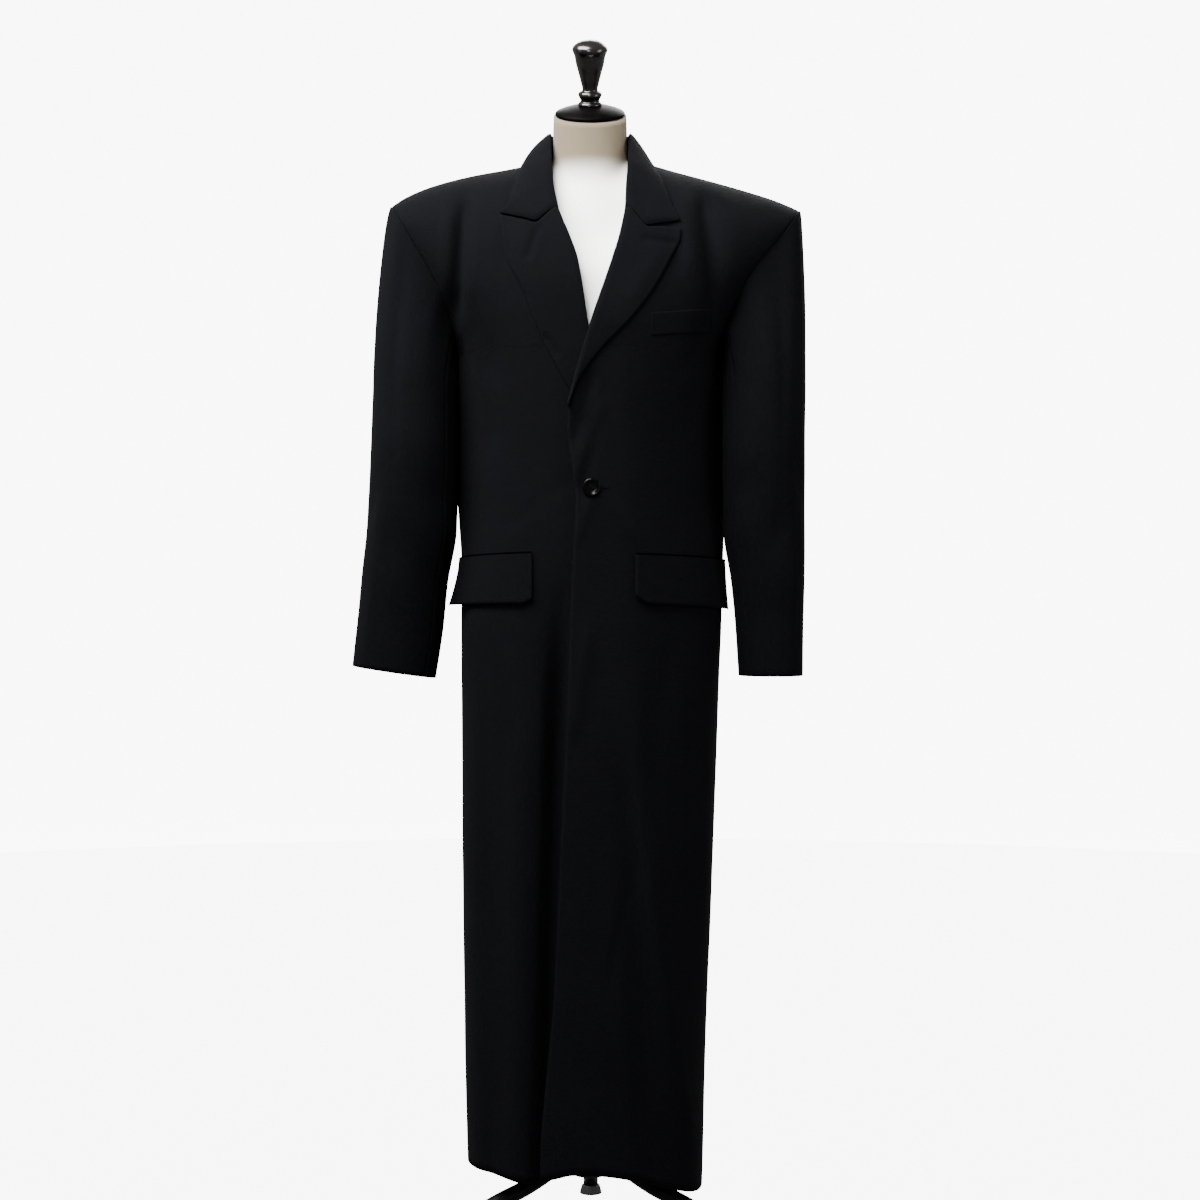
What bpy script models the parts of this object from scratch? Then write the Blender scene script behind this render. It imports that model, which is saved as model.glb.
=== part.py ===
"""Long single-button blazer resting on a limbless dress form with a three-legged stand.

Metres, +Z up, the front of the garment faces -Y and the wearer's left is +X.
Each garment piece is a thin closed shell. Its outer points lie on one shared surface, so pieces
that are sewn together meet at the same curve with a 0.3 mm gap between them.
"""
import math
from collections import namedtuple

import bmesh
import bpy
from mathutils import Matrix, Vector
from mathutils.bvhtree import BVHTree

# Place of the form's upright axis: it centres the whole object over the origin.
AXIS = Vector((0.0150, -0.0494, 0.0))

# Cloth
WALL = 0.0020
THIN_WALL = 0.0016
SEAM_GAP = 0.0003
ROUNDNESS = 2.6
ARMPIT_Z = 1.240
NECK_POINT = 0.062
TIP = {"right": 0.2797, "left": 0.2949}
SIDES = {"right": -1.0, "left": 1.0}
CHEST_ROLL = (2.2, 0.60)
BACK_ROLL = (3.0, 0.50)

# Rows and columns of the panels
UPPER_ROWS = 13
LOWER_SHARES = (0.027, 0.054, 0.075, 0.099, 0.145, 0.205, 0.275, 0.355, 0.440, 0.530, 0.630,
                0.740, 0.860, 1.000)
FRONT_COLUMNS = 14
BACK_COLUMNS = (5, 8)
RAY_START = 0.030
# Points are packed closer towards a panel's side by this power, over this many fine steps.
SIDE_CROWDING = 2.6
FINE_STEPS = 60
# Depth over which folds and lap fade out towards the side seam.
SIDE_FADE_DEPTH = 0.050
# Step for slopes of the surface, and the height under the shoulder line that counts as its top.
SLOPE_STEP = 0.0002
CREST = 0.0005
# The turn of the chest and back at armpit height is spread up and down by this much, at heights
# this near the armpit and reaches this far inside it, as the mean depth at these shares of it.
ARMPIT_SPREAD = 0.038
ARMPIT_SPREAD_HEIGHT = 0.090
ARMPIT_SPREAD_REACH = 0.030
SPREAD_SHARES = (-1.0, -0.6, -0.2, 0.2, 0.6, 1.0)

# Half widths to each side and depths to the front and back of the coat, from hem to shoulder.
Body = namedtuple("Body", "z right left front back")
BODY = (
    Body(0.080, 0.1700, 0.1570, 0.125, 0.122),
    Body(0.300, 0.1760, 0.1630, 0.129, 0.125),
    Body(0.500, 0.1780, 0.1710, 0.132, 0.127),
    Body(0.800, 0.1800, 0.1815, 0.136, 0.128),
    Body(0.950, 0.1810, 0.1870, 0.137, 0.126),
    Body(1.010, 0.1845, 0.1885, 0.137, 0.122),
    Body(1.080, 0.1886, 0.1893, 0.137, 0.119),
    Body(1.180, 0.1876, 0.1884, 0.139, 0.119),
    Body(1.215, 0.1870, 0.1874, 0.140, 0.120),
    Body(1.240, 0.1855, 0.1855, 0.140, 0.120),
    Body(1.243, 0.1862, 0.1862, 0.140, 0.120),
    Body(1.252, 0.1882, 0.1882, 0.140, 0.120),
    Body(1.270, 0.1970, 0.1970, 0.140, 0.120),
    Body(1.300, 0.2130, 0.2130, 0.140, 0.120),
    Body(1.340, 0.2450, 0.2450, 0.140, 0.120),
    Body(1.400, 0.3110, 0.3110, 0.140, 0.120),
    Body(1.433, 0.4100, 0.4100, 0.140, 0.120),
    Body(1.460, 0.6000, 0.6000, 0.140, 0.120),
    Body(1.550, 1.0000, 1.0000, 0.140, 0.120),
)

# How far back the side seam lies at each height, behind the hanging sleeves, and how fast that
# fades towards the middle of a panel.
SideSeam = namedtuple("SideSeam", "z back")
SIDE_SEAM = (
    SideSeam(0.870, 0.000),
    SideSeam(0.960, 0.016),
    SideSeam(1.050, 0.043),
    SideSeam(1.190, 0.040),
    SideSeam(1.222, 0.024),
    SideSeam(1.240, 0.000),
)
SEAM_BACK_POWER = 4

# Height of the shoulder line at each distance from the axis.
Shoulder = namedtuple("Shoulder", "reach right left")
SHOULDER = (
    Shoulder(0.0000, 1.5400, 1.5400),
    Shoulder(0.0300, 1.5305, 1.5305),
    Shoulder(0.0500, 1.5225, 1.5225),
    Shoulder(0.0620, 1.5185, 1.5185),
    Shoulder(0.0906, 1.5115, 1.5115),
    Shoulder(0.1150, 1.5065, 1.5045),
    Shoulder(0.1650, 1.4973, 1.4910),
    Shoulder(0.2213, 1.4825, 1.4750),
    Shoulder(0.2587, 1.4667, 1.4630),
    Shoulder(0.2797, 1.4532, 1.4545),
    Shoulder(0.2949, 1.4450, 1.4475),
    Shoulder(0.3200, 1.4300, 1.4360),
)

# Back neckline from the centre back to the neck point.
Neckline = namedtuple("Neckline", "reach z")
NECKLINE = (
    Neckline(0.000, 1.5130),
    Neckline(0.030, 1.5135),
    Neckline(0.050, 1.5155),
    Neckline(0.062, 1.5185),
)

# Armhole: how far from the axis it lies at each share of its rise from armpit to shoulder tip.
Armhole = namedtuple("Armhole", "rise right left")
ARMHOLE = (
    Armhole(0.00, 0.1855, 0.1855),
    Armhole(0.05, 0.1855, 0.1855),
    Armhole(0.14, 0.1880, 0.1870),
    Armhole(0.29, 0.1970, 0.1980),
    Armhole(0.48, 0.2160, 0.2160),
    Armhole(0.76, 0.2500, 0.2620),
    Armhole(0.92, 0.2700, 0.2850),
    Armhole(1.00, 0.2797, 0.2949),
)

# Inner edge of each front: roll line down to the break, then the buttoned edge down to the hem.
# The reach is counted towards the front's own side, so it is negative past the centre.
FrontEdge = namedtuple("FrontEdge", "z right left")
FRONT_EDGE = (
    FrontEdge(0.080, -0.028, -0.0665),
    FrontEdge(0.155, -0.028, -0.0660),
    FrontEdge(0.235, -0.028, -0.0600),
    FrontEdge(0.353, -0.028, -0.0487),
    FrontEdge(0.558, -0.028, -0.0387),
    FrontEdge(0.795, -0.028, -0.0276),
    FrontEdge(0.928, -0.028, -0.0235),
    FrontEdge(1.040, -0.028, -0.0180),
    FrontEdge(1.130, -0.026, -0.0290),
    FrontEdge(1.156, -0.020, -0.0290),
    FrontEdge(1.179, -0.010, -0.0235),
    FrontEdge(1.271, 0.0045, 0.0030),
    FrontEdge(1.361, 0.0185, 0.0325),
    FrontEdge(1.395, 0.0300, 0.0425),
    FrontEdge(1.437, 0.0460, 0.0510),
    FrontEdge(1.500, 0.0585, 0.0600),
    FrontEdge(1.5185, 0.062, 0.0620),
)

# Hem height at each share of the way from a panel's inner edge to its side seam.
Hem = namedtuple("Hem", "share right_front left_front right_back left_back")
HEM = (
    Hem(0.00, 0.1260, 0.1145, 0.1040, 0.1040),
    Hem(0.10, 0.1260, 0.1205, 0.1040, 0.1035),
    Hem(0.20, 0.1260, 0.1252, 0.1040, 0.1025),
    Hem(0.30, 0.1245, 0.1252, 0.1045, 0.1010),
    Hem(0.40, 0.1150, 0.1230, 0.1055, 0.0990),
    Hem(0.50, 0.1095, 0.1195, 0.1070, 0.0975),
    Hem(0.75, 0.1160, 0.1015, 0.1120, 0.0910),
    Hem(1.00, 0.1185, 0.0850, 0.1185, 0.0850),
)

# The left front laps over the right front: its lift off the shared surface, and where it fades.
LAP_LIFT = 0.0080
LAP_FULL_REACH = 0.040
LAP_END_REACH = 0.125
LAP_FULL_Z = 1.270
LAP_END_Z = 1.360

# Largest folds: a line from top to foot on one panel, its width, and its height (a trough is
# negative).
Fold = namedtuple("Fold", "panel top_reach top_z foot_reach foot_z width height")
FOLDS = (
    Fold("right_front", 0.172, 1.475, 0.186, 1.250, 0.013, -0.0080),
    Fold("left_front", 0.158, 1.485, 0.177, 1.240, 0.014, -0.0070),
    Fold("right_back", 0.170, 1.470, 0.176, 1.240, 0.018, -0.0060),
    Fold("left_back", 0.170, 1.470, 0.176, 1.240, 0.018, -0.0060),
    Fold("right_front", 0.036, 0.960, 0.066, -0.250, 0.017, -0.0240),
    Fold("right_front", 0.090, 0.860, 0.104, -0.250, 0.020, 0.0070),
    Fold("right_front", 0.140, 0.880, 0.132, -0.250, 0.016, -0.0060),
    Fold("left_front", 0.045, 0.820, 0.175, -0.120, 0.022, 0.0100),
    Fold("left_front", 0.046, 0.780, 0.092, -0.100, 0.018, -0.0060),
    Fold("left_front", 0.010, 1.165, -0.012, 1.030, 0.009, -0.0030),
    Fold("right_back", 0.060, 1.050, 0.080, -0.250, 0.030, 0.0070),
    Fold("right_back", 0.120, 0.980, 0.135, -0.250, 0.024, -0.0060),
    Fold("left_back", 0.055, 1.000, 0.070, -0.250, 0.028, 0.0060),
    Fold("left_back", 0.110, 1.040, 0.125, -0.250, 0.024, -0.0060),
)
FOLD_FADE = 0.22

# Sleeve rings below the armhole: the inner and outer reach, and how much the outer side is higher.
Sleeve = namedtuple("Sleeve", "z inner outer centre_y half_depth slope")
SLEEVES = {
    "right": (
        Sleeve(1.195, 0.1864, 0.3017, -0.024, 0.076, 0.000),
        Sleeve(1.100, 0.1840, 0.3051, -0.031, 0.071, 0.000),
        Sleeve(1.000, 0.1858, 0.3106, -0.030, 0.063, 0.004),
        Sleeve(0.930, 0.1974, 0.3183, -0.028, 0.055, 0.008),
        Sleeve(0.870, 0.2036, 0.3241, -0.027, 0.048, 0.012),
        Sleeve(0.800, 0.2147, 0.3315, -0.026, 0.042, 0.017),
    ),
    "left": (
        Sleeve(1.195, 0.1869, 0.3013, -0.024, 0.074, 0.000),
        Sleeve(1.100, 0.1852, 0.2995, -0.031, 0.070, 0.000),
        Sleeve(1.000, 0.1862, 0.2995, -0.029, 0.064, 0.000),
        Sleeve(0.930, 0.1963, 0.2987, -0.030, 0.058, 0.000),
        Sleeve(0.870, 0.2024, 0.2975, -0.028, 0.054, 0.000),
        Sleeve(0.795, 0.2072, 0.2968, -0.028, 0.052, 0.000),
    ),
}
SLEEVE_ROUNDNESS = 2.2
SLEEVE_HEAD_STEPS = (0.0, 0.06, 0.16, 0.30, 0.48, 0.70, 1.0)
SLEEVE_ROWS = 8
# Sleeve seams, counted in panel rows round the armhole from the shoulder tip.
FRONT_SEAM_ROW = 10
BACK_SEAM_ROW = 17
HEAD_PUSH = 0.026
UNDERARM_PUSH = 0.009
UNDERARM_LEAN = math.radians(45.0)
# Steps round the armhole and down the sleeve for directions on it.
ARMHOLE_STEP = 0.08
SLEEVE_STEP = 0.004
SEAM_STEP = 0.010

# Collar: the fold at its top, its outer edge on the coat, and the seam it is sewn to.
Collar = namedtuple("Collar", "station fold_reach fold_y fold_z edge_reach edge_z seam_reach seam_z")
COLLAR = (
    Collar(0, 0.0000, 0.0580, 1.5550, 0.0000, 1.5000, 0.0000, 1.5130),
    Collar(1, 0.0255, 0.0525, 1.5550, 0.0340, 1.5010, 0.0270, 1.5134),
    Collar(2, 0.0445, 0.0385, 1.5560, 0.0620, 1.5035, 0.0450, 1.5147),
    Collar(3, 0.0548, 0.0190, 1.5560, 0.0820, 1.5075, 0.0580, 1.5173),
    Collar(4, 0.0566, 0.0000, 1.5550, 0.0925, 1.5110, 0.0620, 1.5185),
    Collar(5, 0.0562, -0.0200, 1.5425, 0.0960, 1.5020, 0.0610, 1.5140),
    Collar(6, 0.0548, -0.0400, 1.5230, 0.0995, 1.4890, 0.0597, 1.5020),
    Collar(7, 0.0535, -0.0600, 1.5020, 0.1037, 1.4727, 0.0575, 1.4850),
    Collar(8, 0.0505, -0.0830, 1.4680, 0.1127, 1.4374, 0.0530, 1.4580),
)
SHOULDER_STATION = 4
STATION_STEP = 0.5
STAND_INSET = 0.0026
STAND_END = 6.5
FALL_FOOT_START = 7.2
STAND_TOP_GAP = 0.0016
NECK_FACE_SHIFT = 0.0022
ROLL_DEPTH = 0.0022
COLLAR_BULGE = {"right": 0.0040, "left": 0.0015}
# How much nearer the neck, and higher, than in the table the collar's outer edge lies on the
# shoulder.
COLLAR_DRAWN_IN = {"right": (0.0, 0.0), "left": (0.0085, 0.0022)}
# The rounded fold: height and width of its crown, and where the fall leaves it.
CROWN = (0.0006, 0.0020)
CROWN_FOOT = 0.0002
FALL_START = (0.0035, 0.0004)
STAND_SHARES = (0.0, 0.35, 0.70, 1.0)
COLLAR_SHARES = (0.06, 0.17, 0.33, 0.50, 0.67, 0.84, 1.0)
LEAF_LIFT = 0.0052
LEAF_EDGE_LIFT = 0.0034

# Gorge, notch and corners where collar leaf and lapel meet, by side.
Notch = namedtuple("Notch", "roll_reach roll_z inner_share collar_drop lapel_drop "
                            "collar_corner_reach collar_corner_z lapel_corner_reach lapel_corner_z")
NOTCH = {
    "right": Notch(0.0472, 1.4320, 0.33, 0.0160, 0.0178, 0.1226, 1.4268, 0.1226, 1.4238),
    "left": Notch(0.0518, 1.4328, 0.33, 0.0200, 0.0175, 0.1227, 1.4163, 0.1231, 1.4042),
}
GORGE_HALF_GAP = 0.0013

# Outer edge of each lapel from its corner down to the break.
LapelEdge = namedtuple("LapelEdge", "share right_reach right_z left_reach left_z")
LAPEL_EDGE = (
    LapelEdge(0.00, 0.1226, 1.4238, 0.1231, 1.4042),
    LapelEdge(0.08, 0.1180, 1.3985, 0.1222, 1.3900),
    LapelEdge(0.20, 0.1127, 1.3664, 0.1120, 1.3680),
    LapelEdge(0.38, 0.0910, 1.3207, 0.0892, 1.3255),
    LapelEdge(0.58, 0.0690, 1.2640, 0.0581, 1.2826),
    LapelEdge(0.80, 0.0400, 1.2060, 0.0117, 1.2335),
    LapelEdge(0.92, 0.0180, 1.1720, -0.0142, 1.1950),
    LapelEdge(1.00, -0.0100, 1.1500, -0.0275, 1.1600),
)
BREAK_Z = {"right": 1.152, "left": 1.1625}
LAPEL_ROWS = 18
# Rolled inner edge of a lapel: distance from the front's edge, and height over its surface.
Roll = namedtuple("Roll", "reach lift")
ROLL = (
    Roll(-0.0025, -0.0018),
    Roll(-0.0027, 0.0010),
    Roll(-0.0010, 0.0040),
    Roll(0.0035, 0.0052),
)
LAPEL_SHARES = (0.16, 0.33, 0.50, 0.67, 0.84, 1.0)
PRESSED_LIFT_SHARE = 0.62
PRESSED_Z = 1.275
FREE_Z = 1.335
# Width under which the roll narrows with the lapel, its least width, and how fast the notch's dip
# fades down the lapel.
FULL_ROLL_WIDTH = 0.030
LEAST_WIDTH = 0.0001
DIP_FADE = 6

# Pocket flaps: reach of the inner edge, and heights of the top and foot at both ends.
Flap = namedtuple("Flap", "inner_reach top_inner_z top_outer_z foot_inner_z foot_outer_z")
FLAPS = {
    "right": Flap(0.0770, 0.9650, 0.9590, 0.8960, 0.8930),
    "left": Flap(0.0620, 0.9630, 0.9560, 0.8950, 0.8870),
}
FLAP_OUTER_TURN = 0.045
FLAP_COLUMNS = 16
FLAP_ROWS = 4
FLAP_TOP_LIFT = 0.0034
FLAP_FOOT_LIFT = 0.0050
FLAP_FLARE = {"right": 0.0130, "left": 0.0045}
FLAP_FLARE_START = 0.55
FLAP_FLARE_POWER = 1.5
# Rounded inner corner: its share of the flap's width and its height.
FLAP_CORNER = {"right": (0.05, 0.0060), "left": (0.10, 0.0110)}

# Chest welt on the wearer's left.
WELT_REACH = (0.083, 0.165)
WELT_FOOT_Z = (1.2560, 1.2660)
WELT_HEIGHT = 0.030
WELT_COLUMNS = 14
WELT_LIFT = 0.0024
WELT_ROWS = 4

# Front button
BUTTON_Z = 1.051
BUTTON_REACH = 0.0025
BUTTON_RADIUS = 0.0125
BUTTON_THICKNESS = 0.0038
# Shares of the button's radius and thickness, from the middle of its face round to its back.
BUTTON_PROFILE = ((0.0, 0.72), (0.55, 0.72), (0.72, 0.95), (0.84, 1.0), (0.95, 0.85), (1.0, 0.5),
                  (0.94, 0.15), (0.80, 0.0), (0.0, 0.0))
BUTTON_SIDES = 20
BUTTON_PROBES = 16
BUTTON_BACK_ROWS = 4

# Dress form: rings from the top of the neck to the bottom of the torso.
Form = namedtuple("Form", "reach side_z front_y front_z back_y back_z")
FORM = (
    Form(0.0512, 1.5812, -0.0500, 1.5589, 0.0530, 1.6048),
    Form(0.0520, 1.5550, -0.0505, 1.5345, 0.0530, 1.5720),
    Form(0.0520, 1.5300, -0.0530, 1.5050, 0.0515, 1.5350),
    Form(0.0545, 1.5150, -0.0590, 1.4700, 0.0525, 1.5020),
    Form(0.0700, 1.5132, -0.0700, 1.4300, 0.0600, 1.4700),
    Form(0.0900, 1.5090, -0.0800, 1.3950, 0.0700, 1.4400),
    Form(0.1150, 1.4985, -0.0920, 1.3700, 0.0810, 1.4150),
    Form(0.1450, 1.4820, -0.1030, 1.3480, 0.0930, 1.3850),
    Form(0.1700, 1.4600, -0.1080, 1.3300, 0.0980, 1.3600),
    Form(0.1790, 1.4350, -0.1110, 1.3120, 0.1000, 1.3380),
    Form(0.1780, 1.4050, -0.1130, 1.2970, 0.1000, 1.3200),
    Form(0.1700, 1.3650, -0.1150, 1.2800, 0.0990, 1.2980),
    Form(0.1580, 1.3200, -0.1160, 1.2600, 0.0970, 1.2700),
    Form(0.1490, 1.2600, -0.1140, 1.2300, 0.0930, 1.2300),
    Form(0.1360, 1.1900, -0.1040, 1.1700, 0.0850, 1.1800),
    Form(0.1220, 1.1200, -0.0920, 1.1100, 0.0780, 1.1150),
    Form(0.1180, 1.0600, -0.0870, 1.0600, 0.0770, 1.0600),
    Form(0.1280, 1.0000, -0.0920, 1.0000, 0.0870, 1.0000),
    Form(0.1470, 0.9300, -0.1010, 0.9300, 0.1010, 0.9300),
    Form(0.1560, 0.8700, -0.1040, 0.8700, 0.1070, 0.8700),
    Form(0.1540, 0.8300, -0.1010, 0.8300, 0.1040, 0.8300),
    Form(0.1480, 0.8160, -0.0950, 0.8160, 0.0980, 0.8160),
)
FORM_COLUMNS = 28
FORM_ROUNDNESS = 2.15
# Rings narrower than this are the neck's, which lie in one tilted plane each.
NECK_REACH = 0.054

# Neck cap and knob
NECK_TILT = math.radians(24.0)
CAP_CENTRE = Vector((0.0, 0.0015, 1.5822))
CAP_PROFILE = ((0.0, 0.0150), (0.0165, 0.0150), (0.0290, 0.0125), (0.0400, 0.0092),
               (0.0470, 0.0062), (0.0492, 0.0042), (0.0492, 0.0015), (0.0478, 0.0003),
               (0.0, 0.0003))
KNOB_SEAT = 0.0153
Knob = namedtuple("Knob", "radius height")
KNOB = (
    Knob(0.0000, 0.0905),
    Knob(0.0110, 0.0890),
    Knob(0.0182, 0.0855),
    Knob(0.0232, 0.0810),
    Knob(0.0248, 0.0770),
    Knob(0.0240, 0.0735),
    Knob(0.0218, 0.0680),
    Knob(0.0193, 0.0552),
    Knob(0.0160, 0.0435),
    Knob(0.0132, 0.0325),
    Knob(0.0111, 0.0240),
    Knob(0.0111, 0.0205),
    Knob(0.0150, 0.0182),
    Knob(0.0167, 0.0147),
    Knob(0.0152, 0.0105),
    Knob(0.0132, 0.0072),
    Knob(0.0136, 0.0050),
    Knob(0.0158, 0.0034),
    Knob(0.0158, 0.0000),
    Knob(0.0000, 0.0000),
)

# Stand
POLE_RADIUS = 0.0125
HUB_TOP_Z = 0.165
HUB_PROFILE = ((0.0, 0.165), (0.018, 0.165), (0.022, 0.160), (0.024, 0.145), (0.030, 0.138),
               (0.030, 0.100), (0.024, 0.092), (0.0, 0.090))
LEG_TURNS = (-30.0, 90.0, 210.0)
LEG_RADIUS = 0.0110
LegPoint = namedtuple("LegPoint", "reach z")
LEG = (
    LegPoint(0.0303, 0.1180),
    LegPoint(0.0420, 0.1180),
    LegPoint(0.0700, 0.1010),
    LegPoint(0.1050, 0.0855),
    LegPoint(0.1400, 0.0745),
    LegPoint(0.1750, 0.0610),
    LegPoint(0.2050, 0.0450),
    LegPoint(0.2260, 0.0290),
    LegPoint(0.2350, 0.0190),
    LegPoint(0.2350, 0.0128),
)
PAD_RADIUS = 0.0170
PAD_HEIGHT = 0.0125
PAD_TAPER = 0.8
MERGE_DISTANCE = 0.00001
CAP_SIDES = 32
KNOB_SIDES = 18
ROUND_SIDES = 24
PAD_SIDES = 20

CLOTH = (0.012, 0.012, 0.015)
LINEN = (0.78, 0.72, 0.62)
BLACK_WOOD = (0.010, 0.009, 0.009)
BLACK_METAL = (0.012, 0.012, 0.013)
HORN = (0.008, 0.007, 0.007)


def clamp(value, low=0.0, high=1.0):
    """Value held between low and high."""
    return max(low, min(high, value))


def mix(a, b, share):
    """Value a share of the way from a to b."""
    return a + (b - a) * share


def ease(value):
    """Smooth step from 0 to 1."""
    value = clamp(value)
    return value * value * (3.0 - 2.0 * value)


def smooth(rows, column, at):
    """Named column of a table at a place in its first column, on a smooth monotone curve."""
    last = len(rows) - 1
    if at <= rows[0][0]:
        return getattr(rows[0], column)
    if at >= rows[last][0]:
        return getattr(rows[last], column)
    low = max(i for i in range(last) if rows[i][0] <= at)

    def chord(i):
        return (getattr(rows[i + 1], column) - getattr(rows[i], column)) / (rows[i + 1][0] - rows[i][0])

    def slope(i):
        if i == 0 or i == last:
            return chord(min(i, last - 1))
        before = chord(i - 1)
        after = chord(i)
        if before * after <= 0.0:
            return 0.0
        return 2.0 * before * after / (before + after)

    step = rows[low + 1][0] - rows[low][0]
    share = (at - rows[low][0]) / step
    return hermite(getattr(rows[low], column), getattr(rows[low + 1], column),
                   slope(low) * step, slope(low + 1) * step, share)


def hermite(start, end, leave, arrive, share):
    """Cubic from start to end with the given end slopes; works for numbers and vectors."""
    square = share * share
    cube = square * share
    return (start * (2.0 * cube - 3.0 * square + 1.0) + leave * (cube - 2.0 * square + share)
            + end * (3.0 * square - 2.0 * cube) + arrive * (cube - square))


def shoulder_z(side, reach):
    """Height of the shoulder line."""
    return smooth(SHOULDER, side, abs(reach))


def half_width(side, z):
    """Reach of the coat's side at a height."""
    return smooth(BODY, side, z)


def depth_share(face, side, reach, z):
    """Share of the full depth that the chest or back has at this distance under the shoulder."""
    top = shoulder_z(side, reach)
    share = clamp((top - z) / (top - ARMPIT_Z))
    fullness, power = CHEST_ROLL if face == "front" else BACK_ROLL
    return (1.0 - (1.0 - share) ** fullness) ** power


def fold_height(panel, reach, z):
    """Sum of the folds of one panel at a place."""
    total = 0.0
    for fold in FOLDS:
        along = (fold.top_z - z) / (fold.top_z - fold.foot_z)
        if fold.panel == panel and 0.0 < along < 1.0:
            across = (reach - mix(fold.top_reach, fold.foot_reach, along)) / fold.width
            fade = ease(along / FOLD_FADE) * ease((1.0 - along) / FOLD_FADE)
            total += fold.height * fade * math.exp(-across * across)
    return total


def lap_lift(reach, z):
    """Lift of the left front where it laps over the right front."""
    near_edge = ease((LAP_END_REACH - reach) / (LAP_END_REACH - LAP_FULL_REACH))
    below_roll = ease((LAP_END_Z - z) / (LAP_END_Z - LAP_FULL_Z))
    return LAP_LIFT * near_edge * below_roll


def round_depth(face, side, reach, z):
    """Distance of a plain rounded body from the plane of the side seams."""
    full = smooth(BODY, face, z) * depth_share(face, side, reach, z)
    across = clamp(abs(reach) / half_width(side, z))
    return full * (1.0 - across ** ROUNDNESS) ** (1.0 / ROUNDNESS)


def plain_depth(face, side, reach, z):
    """Distance of the unfolded surface from the plane of the side seams."""
    depth = round_depth(face, side, reach, z)
    near = ease(1.0 - abs(z - ARMPIT_Z) / ARMPIT_SPREAD_HEIGHT)
    near *= ease((half_width(side, ARMPIT_Z) - abs(reach)) / ARMPIT_SPREAD_REACH)
    if near <= 0.0:
        return depth
    total = 0.0
    for share in SPREAD_SHARES:
        total += round_depth(face, side, reach, z + ARMPIT_SPREAD * near * share)
    return total / len(SPREAD_SHARES)


def seam_back(side, reach, z):
    """How far back a place is moved with the side seam near it."""
    share = clamp(abs(reach) / half_width(side, z))
    return smooth(SIDE_SEAM, "back", z) * share ** SEAM_BACK_POWER


def surface(face, side, reach, z):
    """Outer point of the coat, folds and lap included."""
    depth = plain_depth(face, side, reach, z)
    if depth > 0.0:
        near_side = clamp(depth / SIDE_FADE_DEPTH)
        depth += fold_height(side + "_" + face, reach, z) * near_side
        if face == "front" and side == "left":
            depth += lap_lift(reach, z) * near_side
    away = -1.0 if face == "front" else 1.0
    return Vector((SIDES[side] * reach, away * depth + seam_back(side, reach, z), z))


def surface_normal(face, side, reach, z):
    """Outward direction of the unfolded surface, which panels that meet share."""
    away = -1.0 if face == "front" else 1.0
    step = SLOPE_STEP
    depth = plain_depth(face, side, reach, z)
    if shoulder_z(side, reach) - z < CREST:
        fall = (shoulder_z(side, reach + step) - shoulder_z(side, reach - step)) / (2.0 * step)
        return Vector((-fall * SIDES[side], 0.0, 1.0)).normalized()

    def level(at_reach, at_depth, at_z):
        full = max(1e-6, smooth(BODY, face, at_z) * depth_share(face, side, at_reach, at_z))
        across = abs(at_reach) / half_width(side, at_z)
        return across ** ROUNDNESS + (abs(at_depth) / full) ** ROUNDNESS

    out = (level(reach + step, depth, z) - level(reach - step, depth, z)) / (2.0 * step)
    forward = (level(reach, depth + step, z) - level(reach, max(0.0, depth - step), z))
    forward /= step + min(step, depth)
    up = (level(reach, depth, z + step) - level(reach, depth, z - step)) / (2.0 * step)
    if depth < step:
        forward = 0.0
    across = seam_back(side, reach + step, z) - seam_back(side, reach - step, z)
    along = seam_back(side, reach, z + step) - seam_back(side, reach, z - step)
    out -= away * forward * across / (2.0 * step)
    up -= away * forward * along / (2.0 * step)
    return Vector((SIDES[side] * out, away * forward, up)).normalized()


def on_coat(facets, face, side, reach, z, lift):
    """Point moved out from a panel's facets, or from the smooth surface beyond the panel's edge."""
    normal = surface_normal(face, side, reach, z)
    base = surface(face, side, reach, z)
    hit = facets[side + "_" + face].ray_cast(base + normal * RAY_START, -normal, 2.0 * RAY_START)[0]
    return (hit or base) + normal * lift


def facet_tree(grid):
    """Search tree of the facets of a panel's outer face."""
    columns = len(grid[0])
    points = [point for row in grid for point in row]
    quads = []
    for r in range(len(grid) - 1):
        for c in range(columns - 1):
            first = r * columns + c
            quads.append((first, first + 1, first + columns + 1, first + columns))
    return BVHTree.FromPolygons(points, quads)


def even_shares(path, first, last, count):
    """Shares between first and last that space count + 1 points of a path evenly."""
    shares = []
    for i in range(FINE_STEPS + 1):
        shares.append(mix(first, last, 1.0 - (1.0 - i / FINE_STEPS) ** SIDE_CROWDING))
    points = [surface(*path(share)) for share in shares]
    lengths = [0.0]
    for before, after in zip(points, points[1:]):
        lengths.append(lengths[-1] + (after - before).length)
    wanted = []
    for step in range(count + 1):
        target = lengths[-1] * step / count
        place = max(i for i in range(FINE_STEPS) if lengths[i] <= target + 1e-9)
        span = max(1e-9, lengths[place + 1] - lengths[place])
        wanted.append(mix(shares[place], shares[place + 1], clamp((target - lengths[place]) / span)))
    wanted[0] = first
    wanted[-1] = last
    return wanted


def armhole_place(side, turn):
    """Reach and height of the armhole; turn runs from the shoulder tip round by the front."""
    rise = (1.0 + math.cos(turn)) / 2.0
    reach = smooth(ARMHOLE, side, rise)
    return reach, mix(ARMPIT_Z, shoulder_z(side, TIP[side]), rise)


def top_edge_z(face, side, reach):
    """Height of a panel's top edge: the shoulder seam, and the neckline of the back."""
    if face == "back" and reach < NECK_POINT:
        return smooth(NECKLINE, "z", reach)
    return shoulder_z(side, reach)


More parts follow.
